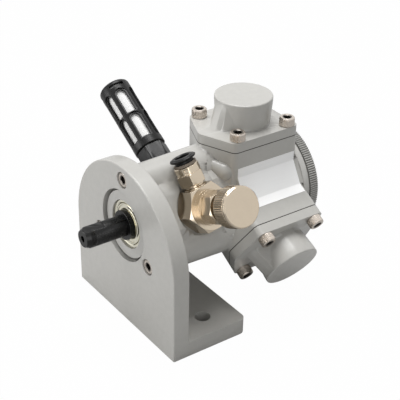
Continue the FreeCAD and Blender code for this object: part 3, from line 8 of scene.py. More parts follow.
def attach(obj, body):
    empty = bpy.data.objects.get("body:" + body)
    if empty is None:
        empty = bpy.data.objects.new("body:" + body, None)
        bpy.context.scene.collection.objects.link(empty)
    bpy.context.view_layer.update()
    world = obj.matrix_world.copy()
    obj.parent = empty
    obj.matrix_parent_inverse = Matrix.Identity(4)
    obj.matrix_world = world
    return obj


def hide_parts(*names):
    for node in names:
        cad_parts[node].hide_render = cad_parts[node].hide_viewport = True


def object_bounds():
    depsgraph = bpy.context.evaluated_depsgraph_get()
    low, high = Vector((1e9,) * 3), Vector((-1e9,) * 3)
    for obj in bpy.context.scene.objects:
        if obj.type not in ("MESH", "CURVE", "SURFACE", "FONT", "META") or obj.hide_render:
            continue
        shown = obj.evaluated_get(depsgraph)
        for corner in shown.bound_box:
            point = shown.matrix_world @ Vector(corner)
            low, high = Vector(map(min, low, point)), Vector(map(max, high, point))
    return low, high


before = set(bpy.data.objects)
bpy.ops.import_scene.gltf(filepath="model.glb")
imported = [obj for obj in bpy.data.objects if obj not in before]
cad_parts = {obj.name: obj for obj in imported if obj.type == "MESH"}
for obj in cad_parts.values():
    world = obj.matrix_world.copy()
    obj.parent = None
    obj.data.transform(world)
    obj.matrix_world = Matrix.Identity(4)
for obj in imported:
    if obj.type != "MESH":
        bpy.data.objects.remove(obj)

CAD_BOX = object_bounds()

# A three-cylinder radial piston air motor on a foot bracket, in metres, in the part's frame.
# +Z is up, the output shaft points along -Y, and the origin is between the two foot holes.
MM = 0.001
SHAFT_HEIGHT = 61.5 * MM
FRONT_FACE = -29.5 * MM        # the bracket plate's front face
CYLINDERS = {"top": 0.0, "right": 120.0, "left": 240.0}    # degrees about the shaft
SEWN = 1e-6                    # vertices of a CAD mesh that are closer become one
ON_AXIS = 1e-7                 # a turned profile's radius that counts as none
SMOOTH = 35.0                  # degrees between faces, up to which they shade as one


def about_shaft(angle, back, out=0.0):
    """Frame of a place around the shaft: X across, Y along the shaft, Z outwards."""
    turn = Matrix.Rotation(math.radians(angle), 4, "Y")
    stand = Matrix.Translation((0.0, FRONT_FACE + back, SHAFT_HEIGHT))
    return stand @ turn @ Matrix.Translation((0.0, 0.0, out))


def along_shaft(back):
    """Frame on the shaft's axis with Z pointing to the rear."""
    return (Matrix.Translation((0.0, FRONT_FACE + back, SHAFT_HEIGHT))
            @ Matrix.Rotation(math.radians(-90), 4, "X"))


# Finishes

class Value:
    """A socket in a material, for sums written as Python expressions."""

    def __init__(self, finish, socket):
        self.finish = finish
        self.socket = socket

    def with_other(self, operation, first, second):
        node = self.finish.node("ShaderNodeMath", {"operation": operation},
                                {0: first, 1: second})
        return Value(self.finish, node.outputs[0])

    def __add__(self, other):
        return self.with_other("ADD", self, other)

    def __radd__(self, other):
        return self.with_other("ADD", other, self)

    def __sub__(self, other):
        return self.with_other("SUBTRACT", self, other)

    def __rsub__(self, other):
        return self.with_other("SUBTRACT", other, self)

    def __mul__(self, other):
        return self.with_other("MULTIPLY", self, other)

    def __rmul__(self, other):
        return self.with_other("MULTIPLY", other, self)

    def __truediv__(self, other):
        return self.with_other("DIVIDE", self, other)

    def __gt__(self, other):
        return self.with_other("GREATER_THAN", self, other)


class Finish:
    """A node material with one Principled shader."""

    def __init__(self, name, colour, roughness, metallic=0.0, coat=0.0, specular=0.5):
        self.material = bpy.data.materials.new(name)
        self.material.use_nodes = True
        self.tree = self.material.node_tree
        self.tree.nodes.clear()
        self.shader = self.node("ShaderNodeBsdfPrincipled")
        output = self.node("ShaderNodeOutputMaterial")
        self.tree.links.new(self.shader.outputs[0], output.inputs[0])
        self.material.diffuse_color = (*colour, 1.0)
        for socket, value in (("Base Color", (*colour, 1.0)), ("Roughness", roughness),
                              ("Metallic", metallic), ("Coat Weight", coat),
                              ("Specular IOR Level", specular), ("Coat Roughness", 0.2)):
            self.shader.inputs[socket].default_value = value
        self.place = Value(self, self.node("ShaderNodeTexCoord").outputs["Object"])

    def node(self, kind, settings=None, inputs=None):
        """A node of that type, with its settings made before its sockets are filled."""
        made = self.tree.nodes.new(kind)
        for key, setting in (settings or {}).items():
            if key == "stops":
                ramp = made.color_ramp
                while len(ramp.elements) < len(setting):
                    ramp.elements.new(1.0)
                for element, (position, shade) in zip(ramp.elements, setting):
                    element.position = position
                    element.color = (shade, shade, shade, 1.0)
            else:
                setattr(made, key, setting)
        for key, value in (inputs or {}).items():
            if isinstance(value, Value):
                self.tree.links.new(value.socket, made.inputs[key])
            else:
                made.inputs[key].default_value = value
        return made

    def value(self, kind, settings=None, inputs=None, output=0):
        return Value(self, self.node(kind, settings, inputs).outputs[output])

    def noise(self, size, detail=2.0, roughness=0.5):
        """Cloudy noise from 0 to 1 with grains of about the size in metres."""
        return self.value("ShaderNodeTexNoise", None,
                          {"Vector": self.place, "Scale": 1.0 / size, "Detail": detail,
                           "Roughness": roughness})

    def ramp(self, value, *stops):
        return self.value("ShaderNodeValToRGB", {"stops": stops}, {"Fac": value})

    def axis(self, name):
        """One of the Object coordinates."""
        return self.value("ShaderNodeSeparateXYZ", None, {"Vector": self.place}, "XYZ".index(name))

    def bevel(self, radius):
        """The normal, rounded over edges."""
        return self.value("ShaderNodeBevel", {"samples": 4}, {"Radius": radius})

    def edges(self, radius, high):
        """1 along edges sharper than the high mark, 0 on open faces."""
        soft = self.bevel(radius)
        plain = self.value("ShaderNodeNewGeometry", None, None, "Normal")
        agree = self.value("ShaderNodeVectorMath", {"operation": "DOT_PRODUCT"},
                           {0: soft, 1: plain}, "Value")
        return self.ramp(1.0 - agree, (0.02, 0.0), (high, 1.0))

    def blend(self, factor, first, second):
        """Mixes two colours."""
        return self.value("ShaderNodeMix", {"data_type": "RGBA", "clamp_factor": True},
                          {0: factor, 6: first if isinstance(first, Value) else (*first, 1.0),
                           7: second if isinstance(second, Value) else (*second, 1.0)}, 2)

    def use(self, socket, value):
        self.tree.links.new(value.socket, self.shader.inputs[socket])
        return self

    def relief(self, height, distance, strength, rounding=0.0):
        """Bump of that depth in metres, over edges rounded by the other radius."""
        inputs = {"Height": height, "Distance": distance, "Strength": strength}
        if rounding:
            inputs["Normal"] = self.bevel(rounding)
        return self.use("Normal", self.value("ShaderNodeBump", None, inputs))


def shade(level, warmth=0.0):
    """A grey of that sRGB level, from 0 to 255, warmed by a few levels of red over blue."""
    def linear(channel):
        part = channel / 255.0
        return part / 12.92 if part <= 0.04045 else ((part + 0.055) / 1.055) ** 2.4
    return (linear(level + warmth * 0.5), linear(level), linear(level - warmth * 1.4))


def painted_casting(name, grain):
    """Grey gloss enamel, slightly uneven over the skin of the casting, lighter along its edges for
    wear and as a painted highlight.
    """
    # The light tone is edge wear together with a painted highlight on the edges.
    body, light, dark = shade(180, 3), shade(206, 2), shade(120, 3)
    finish = Finish(name, body, 0.34, coat=0.35, specular=0.45)
    cloud = finish.noise(26 * MM, 4.0)
    mottle = finish.ramp(finish.noise(3.2 * MM, 3.0), (0.35, 0.0), (0.65, 1.0))
    base = finish.blend(cloud * 0.6, body, shade(172, 3))
    base = finish.blend(mottle * 0.14, base, shade(158, 3))
    specks = finish.ramp(finish.noise(0.55 * MM, 1.0), (0.74, 0.0), (0.78, 1.0))
    base = finish.blend(specks * 0.4, base, dark)
    # Edges lightened: wear, and a painted highlight where the rounded edges catch the light.
    wear_and_highlight = finish.edges(0.45 * MM, 0.3) * (0.3 + 0.7 * finish.noise(2.2 * MM, 3.0))
    finish.use("Base Color", finish.blend(wear_and_highlight * 0.7, base, light))
    finish.use("Roughness", 0.26 + 0.16 * cloud + 0.06 * mottle)
    skin = finish.noise(0.9 * MM, 3.0) * 0.5 + finish.noise(6.0 * MM, 2.0) * 1.3
    return finish.relief(skin, grain, 0.5, 0.35 * MM)


def knurled_paint():
    """The same enamel, lightened, with painted shade that darkens the grooves of the rear cover's
    knurl.
    """
    finish = painted_casting("knurl_paint", 0.03 * MM)
    across, up = finish.axis("X"), finish.axis("Z") - SHAFT_HEIGHT
    reach = finish.value("ShaderNodeMath", {"operation": "SQRT"}, {0: across * across + up * up})
    crest, groove, root = 31.85 * MM, 1.2 * MM, 30.7 * MM
    # Painted shade: a mask that darkens the knurl's grooves below the crests.
    depth = finish.ramp((crest - reach) / groove, (0.05, 0.0), (0.75, 1.0))
    grooves = depth * (reach > root)
    link = finish.shader.inputs["Base Color"].links[0]
    plain = Value(finish, link.from_socket)
    return finish.use("Base Color", finish.blend(grooves, finish.blend(0.35, plain, shade(225, 2)),
                                                 shade(70, 3)))


def plated(name, colour, roughness):
    """Bright plating with soft blotches and fine turning marks, brighter along edges for wear and
    as a painted highlight.
    """
    finish = Finish(name, colour, roughness, metallic=1.0)
    cloud = finish.noise(4.0 * MM, 3.0)
    duller = tuple(channel * 0.78 for channel in colour)
    # Edge mask for wear and a painted highlight on the plating.
    wear_and_highlight = finish.edges(0.25 * MM, 0.3)
    brighter = tuple(min(channel * 1.25, 0.95) for channel in colour)
    base = finish.blend(cloud * 0.2, colour, duller)
    finish.use("Base Color", finish.blend(wear_and_highlight * 0.4, base, brighter))
    finish.use("Roughness", roughness + 0.05 * cloud)
    return finish.relief(finish.noise(0.5 * MM, 2.0), 0.0015 * MM, 0.2, 0.12 * MM)


def machined_steel(name, colour, roughness):
    """Bare metal with a cut surface. Bronze and aluminium use it too."""
    finish = Finish(name, colour, roughness, metallic=1.0)
    cloud = finish.noise(6.0 * MM, 3.0)
    finish.use("Base Color", finish.blend(cloud * 0.4, colour,
                                          tuple(channel * 0.7 for channel in colour)))
    finish.use("Roughness", roughness + 0.1 * cloud)
    return finish.relief(finish.noise(0.4 * MM, 2.0), 0.01 * MM, 0.4, 0.15 * MM)


def blackened_steel():
    """Black oxide over turned steel, rubbed brighter on the edges."""
    colour = shade(44)
    finish = Finish("blackened_steel", colour, 0.24, metallic=0.85, specular=0.5)
    cloud = finish.noise(5.0 * MM, 3.0)
    base = finish.blend(cloud * 0.6, colour, shade(30))
    rubbed = finish.edges(0.35 * MM, 0.35) * finish.noise(1.6 * MM, 2.0)
    finish.use("Base Color", finish.blend(rubbed, base, shade(130, 1)))
    finish.use("Roughness", 0.2 + 0.16 * cloud)
    rings = finish.value("ShaderNodeTexWave", {"bands_direction": "Y"},
                         {"Vector": finish.place, "Scale": 420.0, "Distortion": 1.0})
    return finish.relief(rings, 0.012 * MM, 0.25, 0.25 * MM)


def rubber():
    finish = Finish("seal_rubber", shade(34), 0.6, specular=0.35)
    cloud = finish.noise(3.0 * MM, 3.0)
    finish.use("Base Color", finish.blend(cloud, shade(30), shade(44)))
    finish.use("Roughness", 0.5 + 0.2 * cloud)
    return finish.relief(finish.noise(0.3 * MM, 2.0), 0.03 * MM, 0.5)


def gasket_board():
    finish = Finish("gasket", shade(60), 0.85, specular=0.2)
    fibre = finish.noise(0.6 * MM, 4.0, 0.7)
    finish.use("Base Color", finish.blend(fibre, shade(48), shade(78, 3)))
    finish.use("Roughness", 0.75 + 0.2 * fibre)
    return finish.relief(fibre, 0.04 * MM, 0.6)


def moulded_plastic(name, level, skin, depth):
    """Black moulded plastic with a fine eroded skin and painted highlights along its edges."""
    colour = shade(level)
    finish = Finish(name, colour, 0.3, specular=0.22)
    cloud = finish.noise(7.0 * MM, 3.0)
    edge_highlight = finish.edges(0.3 * MM, 0.35)
    base = finish.blend(cloud * 0.7, colour, shade(level + 8))
    # Painted highlight: the edges are lightened towards a paler black.
    finish.use("Base Color", finish.blend(edge_highlight * 0.5, base, shade(level + 50)))
    finish.use("Roughness", 0.24 + 0.2 * finish.noise(skin, 2.0))
    return finish.relief(finish.noise(skin, 3.0), depth, 0.6, 0.22 * MM)


def sintered_element():
    """White porous plastic made of fused grains."""
    finish = Finish("silencer_felt", shade(248), 0.9, specular=0.2)
    grains = finish.value("ShaderNodeTexVoronoi", {"feature": "F1"},
                          {"Vector": finish.place, "Scale": 2600.0})
    finish.use("Base Color", finish.blend(finish.ramp(grains, (0.3, 0.0), (0.75, 1.0)),
                                          shade(250), shade(226, 1)))
    finish.use("Roughness", 0.8 + 0.15 * grains)
    return finish.relief(1.0 - grains, 0.1 * MM, 0.5)


def blank_foil():
    """Plain silver-white nameplate foil, brushed along the shaft and left blank."""
    finish = Finish("nameplate", shade(246), 0.28, metallic=0.1, specular=0.5)
    stretched = finish.value("ShaderNodeMapping", None,
                             {"Vector": finish.place, "Scale": (2600.0, 60.0, 2600.0)})
    brush = finish.value("ShaderNodeTexNoise", None,
                         {"Vector": stretched, "Scale": 1.0, "Detail": 3.0})
    cloud = finish.noise(14.0 * MM, 2.0)
    finish.use("Base Color", finish.blend(brush * 0.5, shade(250), shade(236)))
    finish.use("Roughness", 0.3 + 0.12 * brush + 0.08 * cloud)
    return finish.relief(cloud + 0.05 * brush, 0.25 * MM, 0.4)


FINISHES = {
    "casting_paint": painted_casting("casting_paint", 0.06 * MM),
    "cover_paint": painted_casting("cover_paint", 0.03 * MM),
    "knurl_paint": knurled_paint(),
    # The sockets' dark colour is painted shade inside the recess.
    "screw_socket": machined_steel("screw_socket", (0.12, 0.11, 0.10), 0.3),
    "plated_screw": plated("plated_screw", (0.60, 0.54, 0.48), 0.18),
    "nickel_brass": plated("nickel_brass", (0.59, 0.505, 0.395), 0.17),
    "steel": machined_steel("steel", (0.50, 0.50, 0.50), 0.32),
    "aluminium": machined_steel("aluminium", (0.72, 0.72, 0.72), 0.38),
    "bearing_steel": machined_steel("bearing_steel", (0.84, 0.81, 0.68), 0.14),
    "bronze": machined_steel("bronze", (0.60, 0.40, 0.20), 0.35),
    "blackened_steel": blackened_steel(),
    "seal_rubber": rubber(),
    "gasket": gasket_board(),
    "fitting_plastic": moulded_plastic("fitting_plastic", 16, 0.4 * MM, 0.02 * MM),
    "silencer_plastic": moulded_plastic("silencer_plastic", 20, 0.5 * MM, 0.05 * MM),
    "fitting_ring": machined_steel("fitting_ring", (0.20, 0.17, 0.14), 0.4),
    "silencer_felt": sintered_element(),
    "nameplate": blank_foil(),
}
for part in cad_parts.values():
    for holder in part.material_slots:
        holder.material = FINISHES[holder.material.name.split(".")[0]].material


# Turned pieces and what repeats on them

def turned(name, profile, finish, frame_of_piece=Matrix.Identity(4), segments=96):
    """Lathes (radius, height) points about Z. Points on the axis close the piece."""
    mesh = bmesh.new()
    rings = []
    for radius, height in profile:
        if radius < ON_AXIS:
            rings.append([mesh.verts.new((0.0, 0.0, height))] * segments)
            continue
        rings.append([mesh.verts.new((radius * math.cos(step), radius * math.sin(step), height))
                      for step in (math.tau * i / segments for i in range(segments))])
    for low, high in zip(rings, rings[1:]):
        for i in range(segments):
            j = (i + 1) % segments
            corners = []
            for corner in (low[i], low[j], high[j], high[i]):
                if corner not in corners:
                    corners.append(corner)
            if len(corners) > 2:
                mesh.faces.new(corners)
    bmesh.ops.remove_doubles(mesh, verts=mesh.verts, dist=ON_AXIS)
    return finished(name, mesh, finish, frame_of_piece)


def smoothed(data, angle):
    """Smooth shading, except over edges sharper than the angle in degrees."""
    data.shade_smooth()
    data.set_sharp_from_angle(angle=math.radians(angle))


def finished(name, mesh, finish, frame_of_piece=Matrix.Identity(4), smooth=SMOOTH):
    """Puts a bmesh in place as a piece at the origin, smooth except over sharp edges."""
    bmesh.ops.transform(mesh, matrix=frame_of_piece, verts=mesh.verts)
    bmesh.ops.recalc_face_normals(mesh, faces=mesh.faces)
    data = bpy.data.meshes.new(name)
    mesh.to_mesh(data)
    mesh.free()
    data.materials.append(FINISHES[finish].material)
    smoothed(data, smooth)
    piece = bpy.data.objects.new(name, data)
    bpy.context.scene.collection.objects.link(piece)
    return piece


def applied(piece):
    """Turns the piece's modifiers into plain mesh."""
    bpy.context.view_layer.update()
    evaluated = piece.evaluated_get(bpy.context.evaluated_depsgraph_get())
    data = bpy.data.meshes.new_from_object(evaluated)
    piece.modifiers.clear()
    piece.data = data
    return piece


def merged(node):
    """A copy of the CAD node's mesh with its faces sewn together."""
    mesh = bmesh.new()
    mesh.from_mesh(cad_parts[node].data)
    bmesh.ops.remove_doubles(mesh, verts=mesh.verts, dist=SEWN)
    return mesh


def bridged(mesh, near, far):
    """Faces between two rings of as many vertices."""
    for i in range(len(near)):
        j = (i + 1) % len(near)
        mesh.faces.new((near[i], near[j], far[j], far[i]))


def ring(mesh, reach, height, steps):
    """Vertices about Z, as far out as a function gives for each angle."""
    return [mesh.verts.new((reach(a) * math.cos(a), reach(a) * math.sin(a), height))
            for a in (math.tau * i / steps for i in range(steps))]


def off_flat(angle):
    """Cosine of the angle from the middle of a hexagon's nearest side."""
    return math.cos((angle % (math.pi / 3)) - math.pi / 6)


class Tree:
    """A Geometry Nodes tree with named inputs."""

    def __init__(self, name, inputs):
        self.group = bpy.data.node_groups.new(name, "GeometryNodeTree")
        face = self.group.interface
        face.new_socket("Geometry", in_out="INPUT", socket_type="NodeSocketGeometry")
        self.keys = {}
        for label, kind in inputs:
            made = face.new_socket(label, in_out="INPUT", socket_type="NodeSocket" + kind)
            self.keys[label] = made.identifier
        face.new_socket("Geometry", in_out="OUTPUT", socket_type="NodeSocketGeometry")
        self.given = self.group.nodes.new("NodeGroupInput")
        self.result = self.group.nodes.new("NodeGroupOutput")

    def add(self, kind, settings=None, inputs=None):
        made = self.group.nodes.new(kind)
        for key, setting in (settings or {}).items():
            setattr(made, key, setting)
        for key, value in (inputs or {}).items():
            if isinstance(value, str) and value in self.given.outputs:
                self.group.links.new(self.given.outputs[value], made.inputs[key])
            elif isinstance(value, bpy.types.NodeSocket):
                self.group.links.new(value, made.inputs[key])
            else:
                made.inputs[key].default_value = value
        return made

    def close(self, geometry):
        """Ends the tree in real geometry with its material."""
        real = self.add("GeometryNodeRealizeInstances", None, {"Geometry": geometry})
        painted = self.add("GeometryNodeSetMaterial", None,
                           {"Geometry": real.outputs[0], "Material": "Finish"})
        self.group.links.new(painted.outputs[0], self.result.inputs[0])
        return self

    def run(self, name, carrier, values):
        """Runs the tree on a carrier mesh and returns the result as a plain piece."""
        holder = bpy.data.objects.new(name, carrier)
        bpy.context.scene.collection.objects.link(holder)
        modifier = holder.modifiers.new("Nodes", "NODES")
        modifier.node_group = self.group
        for label, value in values.items():
            modifier[self.keys[label]] = value
        applied(holder)
        holder.data.name = name
        smoothed(holder.data, SMOOTH)
        return holder


def ridge_tree():
    """Straight knurl: three-sided ridges that stand on a circle, point outwards and run along Z."""
    tree = Tree("straight_knurl", [("Count", "Int"), ("Radius", "Float"), ("Width", "Float"),
                                   ("Length", "Float"), ("Finish", "Material")])
    ring = tree.add("GeometryNodeMeshCircle", None, {"Vertices": "Count", "Radius": "Radius"})
    ridge = tree.add("GeometryNodeMeshCylinder", {"fill_type": "TRIANGLE_FAN"},
                     {"Vertices": 4, "Radius": "Width", "Depth": "Length"})
    index = tree.add("GeometryNodeInputIndex")
    part = tree.add("ShaderNodeMath", {"operation": "DIVIDE"},
                    {0: index.outputs[0], 1: "Count"})
    angle = tree.add("ShaderNodeMath", {"operation": "MULTIPLY"}, {0: part.outputs[0], 1: math.tau})
    turn = tree.add("ShaderNodeCombineXYZ", None, {"Z": angle.outputs[0]})
    spread = tree.add("GeometryNodeInstanceOnPoints", None,
                      {"Points": ring.outputs[0], "Instance": ridge.outputs[0],
                       "Rotation": turn.outputs[0]})
    return tree.close(spread.outputs[0])


def scatter_tree():
    """Copies of one template on the points of the carrier, each turned by the point's own angle."""
    tree = Tree("placed_copies", [("Template", "Object"), ("Finish", "Material")])
    template = tree.add("GeometryNodeObjectInfo", None, {"Object": "Template"})
    turn = tree.add("GeometryNodeInputNamedAttribute", {"data_type": "FLOAT_VECTOR"},
                    {"Name": "turn"})
    spread = tree.add("GeometryNodeInstanceOnPoints", None,
                      {"Points": "Geometry", "Instance": template.outputs["Geometry"],
                       "Rotation": turn.outputs[0]})
    return tree.close(spread.outputs[0])


KNURL = ridge_tree()
COPIES = scatter_tree()


def ridges(name, count, radius, width, length, finish):
    """A ring of ridges about Z whose crests stand at radius + width."""
    return KNURL.run(name, bpy.data.meshes.new("carrier"),
                     {"Count": count, "Radius": radius, "Width": width, "Length": length,
                      "Finish": FINISHES[finish].material})


def steadied(piece):
    """Lets the large flat faces lead the shading, so that curves beside them stay curves."""
    modifier = piece.modifiers.new("Normals", "WEIGHTED_NORMAL")
    modifier.keep_sharp = True
    modifier.weight = 80
    return applied(piece)


def joined(name, pieces, place=Matrix.Identity(4)):
    """One piece out of several, moved into place."""
    target = bpy.data.meshes.new(name)
    mesh = bmesh.new()
    for piece in pieces:
        mesh.from_mesh(piece.data)
    bmesh.ops.transform(mesh, matrix=place, verts=mesh.verts)
    mesh.to_mesh(target)
    mesh.free()
    target.materials.append(pieces[0].data.materials[0])
    for piece in pieces:
        bpy.data.objects.remove(piece)
    whole = bpy.data.objects.new(name, target)
    bpy.context.scene.collection.objects.link(whole)
    return whole


# Cap screws

SCREW_LENGTH = 14.0 * MM       # under the head
SCREW_SHANK = 2.5 * MM         # radius
SCREW_HEAD = 4.25 * MM         # radius
SCREW_TOP = 5.0 * MM           # height of the head
SCREW_CHAMFER = 0.45 * MM
SOCKET_CORNER = 4.0 * MM / math.sqrt(3.0)      # of a 4 mm key
SOCKET_MOUTH = SOCKET_CORNER + 0.35 * MM
SOCKET_FLOOR = SCREW_TOP - 2.6 * MM
SOCKET_STEPS = 48


def screw_skin():
    """Cap screw with a knurled head, seat at the origin and head up Z, open at the socket."""
    head, top, shank = SCREW_HEAD, SCREW_TOP, SCREW_SHANK
    outline = [(0.0, -SCREW_LENGTH), (shank - 0.4 * MM, -SCREW_LENGTH),
               (shank, -SCREW_LENGTH + 0.5 * MM), (shank, 0.0), (head - 0.25 * MM, 0.0),
               (head, 0.25 * MM), (head, top - SCREW_CHAMFER), (head - SCREW_CHAMFER, top),
               (SOCKET_MOUTH, top)]
    skin = turned("screw", outline, "plated_screw", segments=SOCKET_STEPS)
    knurl = ridges("screw_knurl", 40, head - 0.1 * MM, 0.2 * MM, top - 1.5 * MM, "plated_screw")
    knurl.data.transform(Matrix.Translation((0.0, 0.0, top * 0.5 - 0.15 * MM)))
    return joined("screw_template", [skin, knurl])


def screw_socket():
    """Walls and pointed bottom of the hexagon socket in that screw, coloured dark as painted shade.
    """
    mesh = bmesh.new()
    rim = ring(mesh, lambda a: SOCKET_MOUTH, SCREW_TOP, SOCKET_STEPS)
    levels = [ring(mesh, lambda a: SOCKET_CORNER * (math.cos(math.pi / 6) / off_flat(a)), height,
                   SOCKET_STEPS) for height in (SCREW_TOP - 0.3 * MM, SOCKET_FLOOR)]
    bottom = mesh.verts.new((0.0, 0.0, SOCKET_FLOOR - 0.6 * MM))
    bridged(mesh, rim, levels[0])
    bridged(mesh, levels[0], levels[1])
    for i in range(SOCKET_STEPS):
        mesh.faces.new((levels[1][i], levels[1][(i + 1) % SOCKET_STEPS], bottom))
    return finished("socket", mesh, "screw_socket")


def placed_screws(name, places, nodes):
    """Screws at the frames given: their skins as one piece and their sockets, dark with painted
    shade, as another.
    """
    for ending, make, finish in (("", screw_skin, "plated_screw"),
                                 ("_sockets", screw_socket, "screw_socket")):
        template = make()
        carrier = bpy.data.meshes.new("seats")
        carrier.from_pydata([place.translation for place, _ in places], [], [])
        turns = carrier.attributes.new("turn", "FLOAT_VECTOR", "POINT")
        for point, (place, twist) in zip(turns.data, places):
            point.vector = (place @ Matrix.Rotation(twist, 4, "Z")).to_euler()
        screws = COPIES.run(name + ending, carrier,
                            {"Template": template, "Finish": FINISHES[finish].material})
        bpy.data.objects.remove(template)
        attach(screws, "housing")
        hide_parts(*nodes)


def head_screw_places():
    """Seats of the four screws on each head, each screw twisted a little further."""
    middle, seat = 80.3 * MM, 42.0 * MM
    half_across, half_along = 18.0 * MM, 17.25 * MM
    places = []
    for angle in CYLINDERS.values():
        for along in (-half_along, half_along):
            for across in (-half_across, half_across):
                place = about_shaft(angle, middle) @ Matrix.Translation((across, along, seat))
                places.append((place, 0.7 * len(places)))
    return places


def bracket_screw_places():
    """Sunk seats of the three screws in the bracket's plate."""
    sunk, circle = 5.6 * MM, 28.0 * MM
    facing_front = Matrix.Rotation(math.radians(90), 4, "X")
    return [(about_shaft(angle, sunk, circle) @ facing_front, 0.4 + 0.9 * number)
            for number, angle in enumerate(CYLINDERS.values())]


# Rear cover

def rear_cover():
    """Plain ring, knurled rim and shallow dish behind the casting."""
    start = 103.5 * MM
    spigot, spigot_depth = 26.9 * MM, -7.9 * MM
    plain, rim, dish = 30.4 * MM, 30.9 * MM, 26.0 * MM
    knurl_start, knurl_end = 3.5 * MM, 9.7 * MM
    body = turned("cover", [(0.0, spigot_depth), (spigot, spigot_depth), (spigot, 0.02 * MM),
                            (plain - 0.3 * MM, 0.02 * MM), (plain, 0.3 * MM),
                            (plain, knurl_start), (rim - 0.2 * MM, knurl_start),
                            (rim, knurl_start + 0.4 * MM), (rim, knurl_end - 0.5 * MM),
                            (rim - 0.6 * MM, knurl_end), (dish + 0.6 * MM, knurl_end),
                            (dish, knurl_end - 0.5 * MM), (dish - 0.2 * MM, knurl_end - 1.2 * MM),
                            (0.0, knurl_end - 1.2 * MM)],
                  "knurl_paint", segments=180)
    teeth = ridges("cover_teeth", 150, rim - 0.05 * MM, 0.85 * MM,
                   knurl_end - knurl_start - 0.7 * MM, "knurl_paint")
    teeth.data.transform(Matrix.Translation((0.0, 0.0, (knurl_start + knurl_end) * 0.5)))
    cover = joined("rear_cover_knurled", [body, teeth], along_shaft(start))
    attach(cover, "housing")
    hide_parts("rear_cover")


# Throttle knob

def throttle_frame(out=0.0):
    """Z along the throttle valve's axis."""
    return about_shaft(64.0, 35.5 * MM, out)


def throttle_knob():
    """Round knob with a fine straight knurl and a plain flat end."""
    low, high, radius = 54.1 * MM, 65.6 * MM, 11.2 * MM
    lip, band = radius - 0.15 * MM, radius - 0.35 * MM
    body = turned("knob", [(3.05 * MM, low + 0.05 * MM), (band - 1.0 * MM, low + 0.05 * MM),
                           (band, low + 0.9 * MM), (band, high - 2.3 * MM),
                           (band - 0.3 * MM, high - 2.0 * MM), (band - 0.3 * MM, high - 1.8 * MM),
                           (lip, high - 1.6 * MM), (lip, high - 0.7 * MM),
                           (radius - 0.8 * MM, high), (0.0, high)],
                  "nickel_brass", segments=120)
    knurl = ridges("knob_knurl", 60, band - 0.15 * MM, 0.5 * MM, high - low - 3.6 * MM,
                   "nickel_brass")
    knurl.data.transform(Matrix.Translation((0.0, 0.0, (low + high) * 0.5 - 0.6 * MM)))
    knob = joined("knob_knurled", [body, knurl], throttle_frame())
    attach(knob, "throttle_knob")
    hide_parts("throttle_knob")


# Front bearing

def in_mm(points):
    return [(radius * MM, height * MM) for radius, height in points]


def ball_bearing_face():
    """Front bearing as seen: ground outer ring, and a pressed shield with a rolled rim."""
    front, back = 3.0, 11.0
    race = [(12.0, back), (14.0, back), (14.0, front + 0.5), (13.6, front), (12.5, front),
            (12.0, front + 0.5), (12.0, back)]
    shield = [(11.75, front + 0.6), (11.6, front + 0.3), (10.9, front + 0.25),
              (10.6, front + 0.75), (9.2, front + 0.75), (8.9, front + 0.4), (8.7, front + 0.75),
              (8.7, front + 1.2), (11.75, front + 1.2), (11.75, front + 0.6)]
    for name, node, outline in (
            ("front_bearing_outer_race", "front_bearing_outer_ring", race),
            ("front_bearing_shield", "front_bearing_shields", shield)):
        piece = turned(name, in_mm(outline), "bearing_steel", along_shaft(0.0), 128)
        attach(piece, "housing")
        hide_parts(node)


# Push-in fitting

def fitting_frame():
    """Z along the fitting's axis, from the valve body's middle."""
    return (throttle_frame(29.0 * MM) @ Matrix.Rotation(math.radians(11), 4, "Z")
            @ Matrix.Rotation(math.radians(-90), 4, "Y"))


def hexagon_prism(name, across, low, high, bevel, finish):
    """Hexagon along Z with corners turned down at both ends, as a bar is chamfered in a lathe."""
    steps = 72
    corner, flat = across / math.sqrt(3.0), across * 0.5
    face = flat * 0.97         # radius of the round end faces
    lip, half_turned = bevel * 0.35, 0.45
    levels = [(low, 0.0), (low + lip, half_turned), (low + bevel, 1.0),
              (high - bevel, 1.0), (high - lip, half_turned), (high, 0.0)]
    mesh = bmesh.new()
    rings = []
    for height, share in levels:
        limit = face + (corner - face) * share
        rings.append(ring(mesh, lambda a: min(flat / off_flat(a), limit), height, steps))
    for below, above in zip(rings, rings[1:]):
        bridged(mesh, below, above)
    mesh.faces.new(list(reversed(rings[0])))
    mesh.faces.new(rings[-1])
    return finished(name, mesh, finish, smooth=20.0)


def cut_by(piece, cutters):
    """Cuts closed, separate shapes out of the piece and leaves a plain mesh."""
    for cutter in cutters:
        modifier = piece.modifiers.new("Cut", "BOOLEAN")
        modifier.operation = "DIFFERENCE"
        modifier.solver = "EXACT"
        modifier.object = cutter
    applied(piece)
    for cutter in cutters:
        bpy.data.objects.remove(cutter)
    return piece


def boxes(name, finish, places):
    """Blocks as one mesh: (frame, lowest corner, highest corner)."""
    mesh = bmesh.new()
    for place, low, high in places:
        made = bmesh.ops.create_cube(mesh, size=1.0)["verts"]
        for vert in made:
            for axis in range(3):
                vert.co[axis] = low[axis] if vert.co[axis] < 0 else high[axis]
        bmesh.ops.transform(mesh, matrix=place, verts=made)
    return finished(name, mesh, finish)


